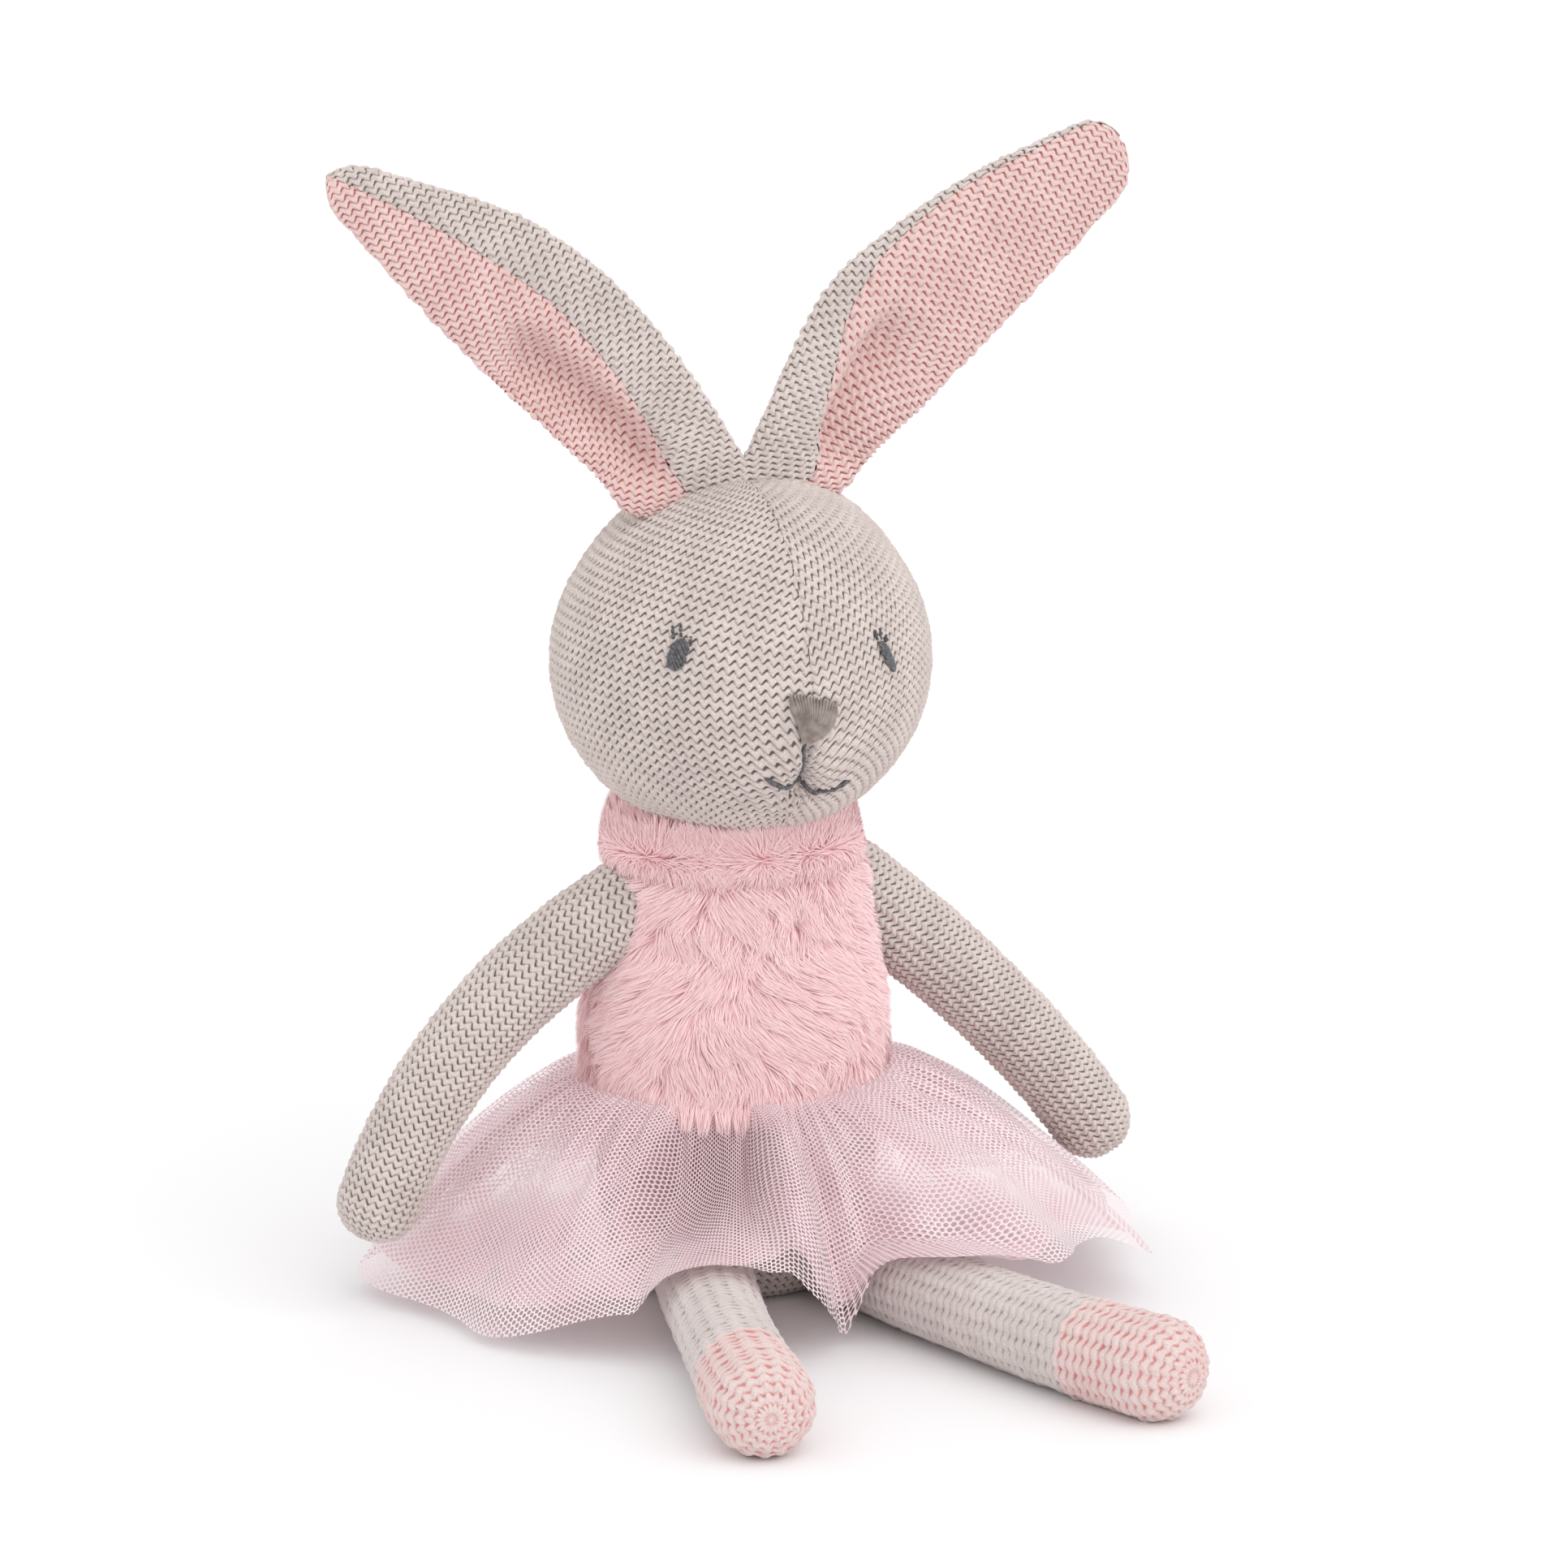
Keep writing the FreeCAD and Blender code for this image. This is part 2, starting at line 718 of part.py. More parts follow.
def ear_wadding(label, sign):
    """The filling of an ear, inside both of its halves."""
    rings = []
    for number, (place, across, half_width, half_thickness) in enumerate(ear_stations(sign)):
        inner_width = max(THINNEST_WADDING, half_width - cell("knit_thickness"))
        inner_thickness = max(THINNEST_WADDING, half_thickness - cell("knit_thickness"))
        circle = item("Part::Ellipse", f"{label}_ring_{number}")
        circle.MajorRadius = max(inner_width, inner_thickness)
        circle.MinorRadius = min(inner_width, inner_thickness)
        circle.Placement = FreeCAD.Placement(
            place, FreeCAD.Rotation(across, FRONT, across.cross(FRONT), "ZXY")
        )
        rings.append(circle)
    return node(label, loft(f"{label}_loft", rings, ruled=True))


for side, sign in side_signs.items():
    ear_half(f"ear_lining_{side}", sign, FRONT)
    ear_half(f"ear_back_{side}", sign, FRONT * -1)
    ear_wadding(f"ear_wadding_{side}", sign)

# ---------------------------------------------------------------- checks and files

doc.recompute()
for made in doc.Objects:
    if "Invalid" in made.State or "Error" in made.State:
        raise RuntimeError(f"{made.Label} did not recompute: {made.State}")
for made in nodes:
    if made.Shape.isNull() or not made.Shape.isValid():
        raise RuntimeError(f"{made.Label} has no valid shape")
    if not made.Shape.Solids:
        raise RuntimeError(f"{made.Label} holds no solid")
for made in nodes:
    made.Shape.exportStep(f"parts/{made.Label}.step")
    print(f"{made.Label}: {made.Shape.Volume / 1000:.2f} cm3 in {len(made.Shape.Solids)} solids")
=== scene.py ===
"""A seated stuffed bunny in a tutu: its looks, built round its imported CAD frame."""

import math

import bpy
import numpy as np
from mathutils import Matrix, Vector


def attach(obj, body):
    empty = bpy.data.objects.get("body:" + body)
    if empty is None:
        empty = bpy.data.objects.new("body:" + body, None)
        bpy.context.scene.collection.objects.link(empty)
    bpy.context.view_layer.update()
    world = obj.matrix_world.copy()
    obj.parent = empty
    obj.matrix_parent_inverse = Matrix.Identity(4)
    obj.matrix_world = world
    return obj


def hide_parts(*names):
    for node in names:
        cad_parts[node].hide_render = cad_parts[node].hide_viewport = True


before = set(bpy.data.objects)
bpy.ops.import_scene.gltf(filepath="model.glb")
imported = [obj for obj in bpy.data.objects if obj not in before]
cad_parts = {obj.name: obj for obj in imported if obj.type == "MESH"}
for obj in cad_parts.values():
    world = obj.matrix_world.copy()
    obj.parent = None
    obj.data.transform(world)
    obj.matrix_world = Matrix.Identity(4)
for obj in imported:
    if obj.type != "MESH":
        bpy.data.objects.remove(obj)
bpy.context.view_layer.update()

# Every length below is in millimetres, and mesh_object() turns them into metres.
METRES = 0.001
TURN = 2 * math.pi
RANDOM = np.random.default_rng(20)
SIDES = {"left": 1, "right": -1}  # the toy's own left lies towards +x

# ---------------------------------------------------------------- numbers and curves


def vector(*numbers):
    return np.array(numbers, float)


UP = vector(0, 0, 1)
FORWARD = vector(0, -1, 0)


def unit(vectors):
    """The same vectors with length 1."""
    length = np.linalg.norm(vectors, axis=-1, keepdims=True)
    return vectors / np.maximum(length, 1e-9)


def smooth_step(low, high, value):
    share = np.clip((value - low) / (high - low), 0.0, 1.0)
    return share * share * (3 - 2 * share)


def bell(value, width):
    return np.exp(-((value / width) ** 2) / 2)


def full_turn(count):
    """Evenly spaced angles once round."""
    return np.linspace(0, TURN, count, endpoint=False)


def varied(count, spread):
    """Random factors, at most the spread away from 1."""
    return 1 - spread + 2 * spread * RANDOM.random(count)


def jitter(shape, width):
    """Random numbers around 0, within half the width."""
    return (RANDOM.random(shape) - 0.5) * width


def hashed(a, b, seed=0.0):
    """A number from 0 to 1 that looks random, for each pair of whole numbers."""
    mixed = np.sin(a * 127.1 + b * 311.7 + seed * 74.7) * 43758.5453
    return mixed - np.floor(mixed)


def lattice_noise(a, b, seed=0.0):
    """Smooth noise from 0 to 1 that changes over steps of 1."""
    column, row = np.floor(a), np.floor(b)
    across = smooth_step(0, 1, a - column)
    up = smooth_step(0, 1, b - row)
    low = hashed(column, row, seed) * (1 - across) + hashed(column + 1, row, seed) * across
    high = hashed(column, row + 1, seed) * (1 - across) + hashed(column + 1, row + 1, seed) * across
    return low * (1 - up) + high * up


def bezier(points, share):
    """Places on a curve with three control points, and its directions there."""
    start, middle, end = (np.asarray(point, float) for point in points)
    share = np.asarray(share, float)[..., None]
    place = start * (1 - share) ** 2 + middle * 2 * share * (1 - share) + end * share**2
    direction = (middle - start) * (1 - share) + (end - middle) * share
    return place, unit(direction)


def curve_lengths(places):
    """The distance along a polyline at each of its points."""
    steps = np.linalg.norm(np.diff(places, axis=0), axis=1)
    return np.concatenate([[0.0], np.cumsum(steps)])


def srgb(red, green, blue):
    """A colour given in 0 to 255 as the renderer wants it."""
    parts = []
    for part in (red, green, blue):
        part /= 255
        parts.append(part / 12.92 if part <= 0.04045 else ((part + 0.055) / 1.055) ** 2.4)
    return (*parts, 1.0)


# ---------------------------------------------------------------- meshes


def mesh_object(name, points, faces, material, uv=None, values=None):
    """A smooth mesh of quads from points in millimetres, with a UV map and point values."""
    points = np.asarray(points, float).reshape(-1, 3) * METRES
    corners = np.ravel(faces).astype(np.int32)
    mesh = bpy.data.meshes.new(name)
    mesh.vertices.add(len(points))
    mesh.vertices.foreach_set("co", points.astype(np.float32).ravel())
    mesh.loops.add(len(corners))
    mesh.loops.foreach_set("vertex_index", corners)
    mesh.polygons.add(len(faces))
    mesh.polygons.foreach_set("loop_start", np.arange(0, len(corners), 4, dtype=np.int32))
    mesh.polygons.foreach_set("loop_total", np.full(len(faces), 4, np.int32))
    mesh.polygons.foreach_set("use_smooth", np.ones(len(faces), bool))
    if uv is not None:
        layer = mesh.uv_layers.new(name="cloth")
        layer.data.foreach_set("uv", np.asarray(uv, np.float32).reshape(-1, 2)[corners].ravel())
    for value_name, value in (values or {}).items():
        attribute = mesh.attributes.new(value_name, "FLOAT", "POINT")
        attribute.data.foreach_set("value", np.asarray(value, np.float32).ravel())
    mesh.validate()
    mesh.update()
    made = bpy.data.objects.new(name, mesh)
    bpy.context.scene.collection.objects.link(made)
    mesh.materials.append(material)
    return made


def grid_faces(rows, columns, closed=False, flipped=False, first=0):
    """The quads of a grid of points, whose columns may close into a ring."""
    below = np.arange(rows - 1)[:, None] * columns
    above = below + columns
    column = np.arange(columns if closed else columns - 1)[None, :]
    after = (column + 1) % columns
    corners = [below + column, below + after, above + after, above + column]
    quads = np.stack(corners, axis=-1).reshape(-1, 4)
    if flipped:
        quads = quads[:, ::-1]
    return quads + first


def grid_normals(points):
    """Normals of an open grid of points, from its neighbours."""
    return unit(np.cross(np.gradient(points, axis=1), np.gradient(points, axis=0)))


def finish_piece(piece, body, slot, *nodes, fill=None):
    """Ties a piece to the CAD body it moves with, and hides the CAD nodes it stands for.
    fill, how tightly a padded piece is stuffed, is not used."""
    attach(piece, body)
    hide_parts(*nodes)


# ---------------------------------------------------------------- materials


def new_material(name):
    """A material with an empty node tree, its output and a Principled shader."""
    material = bpy.data.materials.new(name)
    material.use_nodes = True
    tree = material.node_tree
    tree.nodes.clear()
    output = tree.nodes.new("ShaderNodeOutputMaterial")
    shader = tree.nodes.new("ShaderNodeBsdfPrincipled")
    tree.links.new(shader.outputs["BSDF"], output.inputs["Surface"])
    return material, tree, shader


def shade_with(tree, shader, colour, **constants):
    """Gives a shader its colour and constants. In their names _ stands for a space."""
    tree.links.new(colour, shader.inputs["Base Color"])
    for name, value in constants.items():
        shader.inputs[name.replace("_", " ")].default_value = value


def colour_mix(tree, factor, low, high):
    """A colour between low and high. Each is a socket, or a colour from 0 to 255."""
    mix = tree.nodes.new("ShaderNodeMix")
    mix.data_type = "RGBA"
    if isinstance(factor, float):
        mix.inputs[0].default_value = factor
    else:
        tree.links.new(factor, mix.inputs[0])
    for socket, colour in ((mix.inputs[6], low), (mix.inputs[7], high)):
        if isinstance(colour, tuple):
            socket.default_value = srgb(*colour)
        else:
            tree.links.new(colour, socket)
    return mix.outputs[2]


def ramp(tree, value, low, high):
    """A socket's value stretched so that low becomes 0 and high becomes 1."""
    node = tree.nodes.new("ShaderNodeMapRange")
    node.interpolation_type = "SMOOTHSTEP"
    node.inputs["From Min"].default_value = low
    node.inputs["From Max"].default_value = high
    tree.links.new(value, node.inputs["Value"])
    return node.outputs["Result"]


def mottle(tree, scale, low=0.3, high=0.7, detail=2.0):
    """Soft patches from 0 to 1 over the object's own coordinates, in metres."""
    place = tree.nodes.new("ShaderNodeTexCoord")
    node = tree.nodes.new("ShaderNodeTexNoise")
    node.inputs["Scale"].default_value = scale
    node.inputs["Detail"].default_value = detail
    tree.links.new(place.outputs["Object"], node.inputs["Vector"])
    return ramp(tree, node.outputs["Fac"], low, high)


def attribute(tree, name):
    node = tree.nodes.new("ShaderNodeAttribute")
    node.attribute_name = name
    return node.outputs["Fac"]


def mottled_material(name, dark, light, scale, roughness, sheen=0.0, **patches):
    """A plain material that varies between two colours. patches goes to mottle()."""
    material, tree, shader = new_material(name)
    colour = colour_mix(tree, mottle(tree, scale, **patches), dark, light)
    shade_with(tree, shader, colour, Roughness=roughness, Sheen_Weight=sheen)
    return material


def yarn_material(name, yarn, pale, gap):
    """Cotton yarn: mottled along the strand, with painted shade in the gaps between stitches."""
    material, tree, shader = new_material(name)
    body = colour_mix(tree, mottle(tree, 2600.0, low=0.35), yarn, pale)
    patches = mottle(tree, 90.0)
    shade = colour_mix(tree, 0.12, body, gap)
    body = colour_mix(tree, patches, shade, body)
    # gap is a painted shade colour, laid into the gaps between stitches and into the holes.
    depth = ramp(tree, attribute(tree, "gap"), 0.08, 0.8)
    shade_with(
        tree,
        shader,
        colour_mix(tree, depth, body, gap),
        Roughness=0.92,
        Specular_IOR_Level=0.15,
        Sheen_Weight=0.12,
        Sheen_Roughness=0.5,
    )
    return material


# Strength of the pile's painted glow.
PILE_GLOW = 0.055


def fur_material(name, root, middle, tip):
    """Long pile that pales from root to tip, each strand a little different. The darker root is
    painted shade deep in the pile.
    """
    material, tree, shader = new_material(name)
    along = attribute(tree, "along")
    lower = colour_mix(tree, ramp(tree, along, 0.0, 0.45), root, middle)
    full = colour_mix(tree, ramp(tree, along, 0.4, 1.0), lower, tip)
    # A faint painted glow stands in for light that fine pile passes on from strand to strand, so it
    # never goes grey.
    shade_with(
        tree,
        shader,
        colour_mix(tree, attribute(tree, "tint"), full, middle),
        Roughness=0.65,
        Specular_IOR_Level=0.25,
        Sheen_Weight=0.3,
        Sheen_Roughness=0.4,
        Emission_Color=srgb(*middle),
        Emission_Strength=PILE_GLOW,
    )
    return material


# Each yarn's last colour is painted shade for the gaps between its stitches.
GREY_YARN = yarn_material("grey_yarn", (208, 195, 190), (229, 218, 213), (108, 94, 88))
PALE_GREY_YARN = yarn_material("pale_grey_yarn", (209, 198, 195), (224, 215, 212), (126, 113, 107))
PINK_YARN = yarn_material("pink_yarn", (224, 194, 190), (237, 213, 209), (168, 92, 88))
SLIPPER_YARN = yarn_material("slipper_yarn", (219, 198, 195), (231, 214, 210), (212, 142, 139))
EYE_THREAD = mottled_material("eye_thread", (58, 57, 61), (106, 104, 108), 1500.0, 0.45, 0.2)
NOSE_THREAD = mottled_material("nose_thread", (118, 106, 99), (156, 143, 136), 420.0, 0.45, 0.2)
FUR = fur_material("pink_fur", (230, 146, 153), (245, 208, 210), (249, 231, 231))
COLLAR_FUR = fur_material("collar_fur", (222, 142, 147), (239, 200, 203), (246, 224, 224))
BAND_CLOTH = mottled_material("band_cloth", (232, 184, 192), (243, 206, 212), 900.0, 0.8)
FLOOR_PAPER = mottled_material("floor_paper", (246, 246, 247), (249, 249, 250), 3.0, 0.9)
FIBRE = mottled_material(
    "fibre_fill", (232, 230, 227), (250, 249, 247), 700.0, 0.9, low=0.35, high=0.65, detail=6.0
)

NET_CELL = 1.3  # from one hole of the net to the next


def tulle_material(name, colour, fold, deep, holes, open_share, glow):
    """Net of hexagonal holes, whose threads lie along the cloth's own UV map.
    deep is the painted shade it takes in the hollow at the front. holes are the wave heights between
    which thread turns into hole, and open_share is how clear the holes are."""
    material, tree, shader = new_material(name)
    uv = tree.nodes.new("ShaderNodeUVMap")
    uv.uv_map = "cloth"
    split = tree.nodes.new("ShaderNodeSeparateXYZ")
    tree.links.new(uv.outputs["UV"], split.inputs[0])

    def maths(operation, *values):
        node = tree.nodes.new("ShaderNodeMath")
        node.operation = operation
        for socket, value in zip(node.inputs, values):
            if isinstance(value, float):
                socket.default_value = value
            else:
                tree.links.new(value, socket)
        return node.outputs[0]

    # Three waves at 60 degrees to each other add up to a hexagonal net.
    x = maths("MULTIPLY", split.outputs["X"], TURN / NET_CELL)
    y = maths("MULTIPLY", split.outputs["Y"], TURN / NET_CELL)
    half_x = maths("MULTIPLY", x, 0.5)
    tall_y = maths("MULTIPLY", y, math.sqrt(3) / 2)
    total = maths("COSINE", x)
    for operation in ("ADD", "SUBTRACT"):
        total = maths("ADD", total, maths("COSINE", maths(operation, half_x, tall_y)))
    hole = ramp(tree, total, *holes)
    alpha = maths("SUBTRACT", 1.0, maths("MULTIPLY", hole, open_share))
    tree.links.new(alpha, shader.inputs["Alpha"])
    lit = colour_mix(tree, mottle(tree, 60.0), fold, colour)
    # A painted glow stands in for light that the thin net lets through from behind, so its folds stay
    # pale. The "shade" value mixes in deep, a painted shade.
    shade_with(
        tree,
        shader,
        colour_mix(tree, attribute(tree, "shade"), lit, deep),
        Roughness=0.6,
        Sheen_Weight=0.4,
        Emission_Color=srgb(*fold),
        Emission_Strength=glow,
    )
    return material


# deep is painted shade for the hollow at the front; on the inner layer it is a near-black sheet of
# shade seen through the outer net.
TULLE = {
    "outer": tulle_material(
        "pink_tulle",
        colour=(235, 217, 220),
        fold=(227, 202, 207),
        deep=(226, 192, 198),
        holes=(-0.75, -0.1),
        open_share=0.97,
        glow=0.14,
    ),
    "inner": tulle_material(
        "deep_tulle",
        colour=(233, 209, 213),
        fold=(225, 195, 201),
        deep=(36, 26, 30),
        holes=(-0.4, 0.2),
        open_share=0.75,
        glow=0.05,
    ),
}

# ---------------------------------------------------------------- knitting

PURL_WAVE = 0.27  # how far a row's yarn rises and falls, as a share of the row


def purl(column, row, wave=PURL_WAVE, seed=0.0):
    """Reverse stocking stitch: the yarn's height, and the depth of the gaps from 0 to 1, which the
    yarn materials paint as shade.
    """
    turn = TURN * column
    line = row - wave * np.cos(turn)
    strand = np.floor(line)
    off_centre = np.abs(line - strand - 0.5) * 2
    rope = np.sqrt(np.maximum(0.0, 1 - off_centre**2))
    dive = 0.5 + 0.5 * np.sin(turn + 0.5)
    lump = 0.82 + 0.36 * hashed(np.floor(column + 0.33), strand, seed)
    height = rope * (1 - 0.5 * dive) * lump
    gap = smooth_step(0.45, 1.0, off_centre) * (0.36 + 0.84 * dive**1.5)
    return height, np.clip(gap * (1.45 - 0.5 * lump), 0, 1)



def knitted_mesh(
    name, points, normals, relief, cells, seed, material, pattern=purl, gap_share=1.0, **grid
):
    """A grid of points as knit. cells are its columns and rows of stitches, which stand out by
    the relief, and grid goes to grid_faces()."""
    height, gap = pattern(*cells, seed=seed)
    points = points + normals * (relief * (height - 0.5))[..., None]
    faces = grid_faces(*points.shape[:2], **grid)
    uv = np.stack(cells, axis=-1)
    return mesh_object(name, points, faces, material, uv, {"gap": gap * gap_share})


# ---------------------------------------------------------------- head

HEAD_CENTRE = vector(0, -3, 160)
HEAD_HALF = vector(47, 44.5, 43.5)
HEAD_RADIUS = 45.0
CROWN_LIFT = 2.6  # how far the stuffing pushes the crown above the plain oval
HEAD_RELIEF = 1.0
HEAD_STITCH = (2.6, 2.5)  # how wide and how tall a stitch is, and so for the other pieces
HEAD_GRID = 460  # points along each side of a panel's grid
ROW_SLANT = 0.0028  # how fast the rows drop towards the seam of the face
TOP_GATHER = 0.5  # how much the stitches narrow towards the crown
MOUTH = vector(0, -22.0)  # across and up from the head's centre
NOSE_FOOT = vector(0, -12.2)
MUZZLE_WAY = unit(vector(0, -0.95, -0.30))
MUZZLE_BULGE = (1.8, 0.42)  # height, and width in radians
CHEEK_PLACE = (6.0, -18.5)
CHEEK_BULGE = (0.9, 4.0)  # height and width, and so for the next four
LIP_GROOVE = (2.0, 1.0)
MOUTH_DIMPLE = (2.6, 2.0)
NOSE_DIMPLE = (1.2, 1.8)
FACE_SEAM = (0.2, 0.8)
PUCKERS = 13  # small folds that run into the mouth, all the way round it
PUCKER_HEIGHT = 0.8
HEAD_FILL = 0.95


def square_to_disc(count):
    """A square grid mapped onto a disc: radius from 0 to 1, and angle."""
    line = np.linspace(-1, 1, count)
    a, b = np.meshgrid(line, line)
    wide = np.abs(a) > np.abs(b)
    radius = np.where(wide, a, b)
    with np.errstate(divide="ignore", invalid="ignore"):
        angle = np.where(wide, (math.pi / 4) * b / a, math.pi / 2 - (math.pi / 4) * a / b)
    angle = np.nan_to_num(angle)
    return radius, angle


def head_shape(direction):
    """Points of the head's skin before its stitches, and its normals, for unit directions."""
    across = direction[..., 0] * HEAD_HALF[0]
    up = direction[..., 2] * HEAD_HALF[2]
    front = smooth_step(0.0, 0.5, -direction[..., 1])

    def bump(distance, size):
        height, width = size
        return height * bell(distance, width)

    bulge = bump(np.arccos(np.clip(direction @ MUZZLE_WAY, -1, 1)), MUZZLE_BULGE)
    cheeks = bump(np.hypot(np.abs(across) - CHEEK_PLACE[0], up - CHEEK_PLACE[1]), CHEEK_BULGE)
    groove = bump(across, LIP_GROOVE) * smooth_step(-25, -21, up) * (1 - smooth_step(-13, -10, up))
    from_mouth = np.hypot(across - MOUTH[0], up - MOUTH[1])
    dimple = bump(from_mouth, MOUTH_DIMPLE)
    foot = bump(np.hypot(across - NOSE_FOOT[0], up - NOSE_FOOT[1]), NOSE_DIMPLE)
    seam = bump(across, FACE_SEAM)
    crown = CROWN_LIFT * smooth_step(0.5, 1.0, direction[..., 2])
    below = smooth_step(-0.3, 0.8, -(up - MOUTH[1]) / np.maximum(from_mouth, 1e-6))
    folds = np.cos(PUCKERS * np.arctan2(across, -(up - MOUTH[1])))
    pucker = PUCKER_HEIGHT * folds * below * bell(from_mouth - 4.5, 3.2)
    lift = front * (bulge + cheeks - groove - dimple - foot + pucker) - seam + crown
    points = HEAD_CENTRE + direction * HEAD_HALF + direction * lift[..., None]
    normals = unit(direction / HEAD_HALF)
    return points, normals


def head_stitches(direction, side):
    """The column and row of the knitting at each direction, for one of the two panels."""
    across = direction[..., 0] * HEAD_HALF[0]
    up = direction[..., 2] * HEAD_HALF[2]
    front = smooth_step(0.2, 0.7, -direction[..., 1])
    for centre, strength, width in ((MOUTH, 0.9, 6.0), (NOSE_FOOT, 0.5, 4.0)):
        pull = 1 + strength * front * bell(np.hypot(across - centre[0], up - centre[1]), width)
        across = centre[0] + (across - centre[0]) * pull
        up = centre[1] + (up - centre[1]) * pull
    pulled = unit(np.stack([across / HEAD_HALF[0], direction[..., 1], up / HEAD_HALF[2]], axis=-1))
    latitude = np.arcsin(np.clip(pulled[..., 2], -1, 1))
    azimuth = np.arctan2(-pulled[..., 1], side * pulled[..., 0])
    along = HEAD_RADIUS * azimuth * (1 - TOP_GATHER * (1 - np.cos(latitude)))
    height = HEAD_RADIUS * latitude + ROW_SLANT * along**2
    return along * side / HEAD_STITCH[0], height / HEAD_STITCH[1]


def head_panel(name, side):
    """One of the two panels: its middle is at the side of the head, its edge in the seam."""
    radius, angle = square_to_disc(HEAD_GRID)
    tilt = radius * math.pi / 2
    direction = np.stack(
        [side * np.cos(tilt), -np.sin(tilt) * np.cos(angle), np.sin(tilt) * np.sin(angle)], axis=-1
    )
    points, normals = head_shape(direction)
    cells = head_stitches(direction, side)
    return knitted_mesh(
        name, points, normals, HEAD_RELIEF, cells, side, GREY_YARN, flipped=side > 0
    )


for side_name, side in SIDES.items():
    panel = head_panel(f"head_knit_{side_name}", side)
    inner_nodes = ("head_stuffing",) if side_name == "left" else ()
    nodes = (f"head_panel_{side_name}", *inner_nodes)
    finish_piece(panel, "head", "knit_grey", *nodes, fill=HEAD_FILL)

# ---------------------------------------------------------------- limbs

# Start, bend and end of each limb's middle line.
ARM_PATHS = {
    "left": (vector(29, 0, 99), vector(75, 2, 62), vector(98, 5, 29)),
    "right": (vector(-29, 0, 99), vector(-76, 2, 76), vector(-93, 5, 29)),
}
LEG_PATHS = {
    "left": (vector(17, -15, 12.3), vector(25, -88, 12.3), vector(50, -143, 12.3)),
    "right": (vector(-17, -15, 12.3), vector(-37, -79, 12.3), vector(-48, -133, 12.3)),
}
# Radii at the root, half way along and at the tip.
ARM_RADII = (11.5, 10.5, 10.0)
LEG_RADII = (12.0, 11.2, 12.3)
ARM_STITCH = (2.6, 2.1)
LEG_STITCH = (4.1, 2.5)
ARM_RELIEF = 1.1
ARM_SEEDS = {"left": 4, "right": 5}
LEG_SEED = 3
LEG_RELIEFS = {"leg": 0.6, "slipper": 0.95}
LEG_GAPS = {"leg": 0.55, "slipper": 1.0}  # how dark the painted shade in the gaps of each part's stitches is
LEG_WAVE = 0.16
LEG_HOLE = (0.085, 0.16)  # across and along, in stitches
SLIPPER_LENGTH = 34.0
LIMB_FILL = 0.85
POINTS_PER_MM = 3.4
TIP_GAP = 0.005  # the last ring of points lies this far from the very tip


def limb_frame(path, radii):
    """The length of a limb's middle line, and a function of distances along it."""
    shares = np.linspace(0, 1, 200)
    places, _ = bezier(path, shares)
    lengths = curve_lengths(places)
    body_length = lengths[-1]

    def at(distance):
        """Centre, direction, radius and tilt at a distance. Both ends of the limb are round."""
        inside = np.clip(distance, 0, body_length)
        share = np.interp(inside, lengths, shares)
        place, direction = bezier(path, share)
        radius = np.interp(share, (0, 0.5, 1), radii)
        over = (distance - inside) / np.where(distance < 0, radii[0], radii[2])
        angle = np.clip(over, -1, 1) * (math.pi / 2)
        place = place + direction * (radius * np.sin(angle))[..., None]
        return place, direction, radius * np.cos(angle), angle

    return body_length, at


def limb_piece(name, path, radii, stitch, span, pattern, seed, relief, material, gap_share=1.0):
    """A knitted tube round part of a limb. span says from where to where along it."""
    body_length, at = limb_frame(path, radii)
    distances = np.linspace(*span, round((span[1] - span[0]) * POINTS_PER_MM))
    place, direction, radius, angle = at(distances)
    side_way = unit(np.cross(UP, direction))
    over_way = unit(np.cross(direction, side_way))
    turn = full_turn(round(TURN * max(radii) * POINTS_PER_MM))
    spoke = (
        side_way[:, None, :] * np.cos(turn)[None, :, None]
        + over_way[:, None, :] * np.sin(turn)[None, :, None]
    )
    normals = unit(
        spoke * np.cos(angle)[:, None, None] + direction[:, None, :] * np.sin(angle)[:, None, None]
    )
    points = place[:, None, :] + spoke * radius[:, None, None]
    columns = round(TURN * radii[1] / stitch[0])
    past_end = distances - np.clip(distances, 0, body_length)
    rows = (distances + past_end * (math.pi / 2 - 1)) / stitch[1]
    column = np.broadcast_to(turn[None, :] / TURN * columns, points.shape[:2])
    row = np.broadcast_to(rows[:, None], points.shape[:2])
    relief = relief * np.clip(radius / radii[2] * 1.6, 0, 1)[:, None]
    return knitted_mesh(
        name, points, normals, relief, (column, row), seed, material, pattern, gap_share, closed=True
    )


def leg_stitches(column, row, seed):
    """Finer, flatter rows, with a line of small holes of uneven size along every column, sunk in and
    darkened with painted shade.
    """
    height, gap = purl(column, row, LEG_WAVE, seed)
    line = row - LEG_WAVE * np.cos(TURN * column)
    cell = np.round(column), np.round(line)
    strength = 1.1 * hashed(*cell, seed) ** 0.8
    drift = 0.3 * (hashed(*cell, seed + 5) - 0.5)
    slip = 0.3 * (hashed(*cell, seed + 8) - 0.5)
    hole = strength * bell(column - cell[0] - drift, LEG_HOLE[0])
    hole = hole * bell(line - cell[1] - slip, LEG_HOLE[1])
    lump = 0.6 * hashed(np.floor(column), np.floor(line), seed + 2)
    return height * (1 - 0.6 * hole) + lump, np.clip(gap * 0.8 + 0.65 * hole, 0, 1)


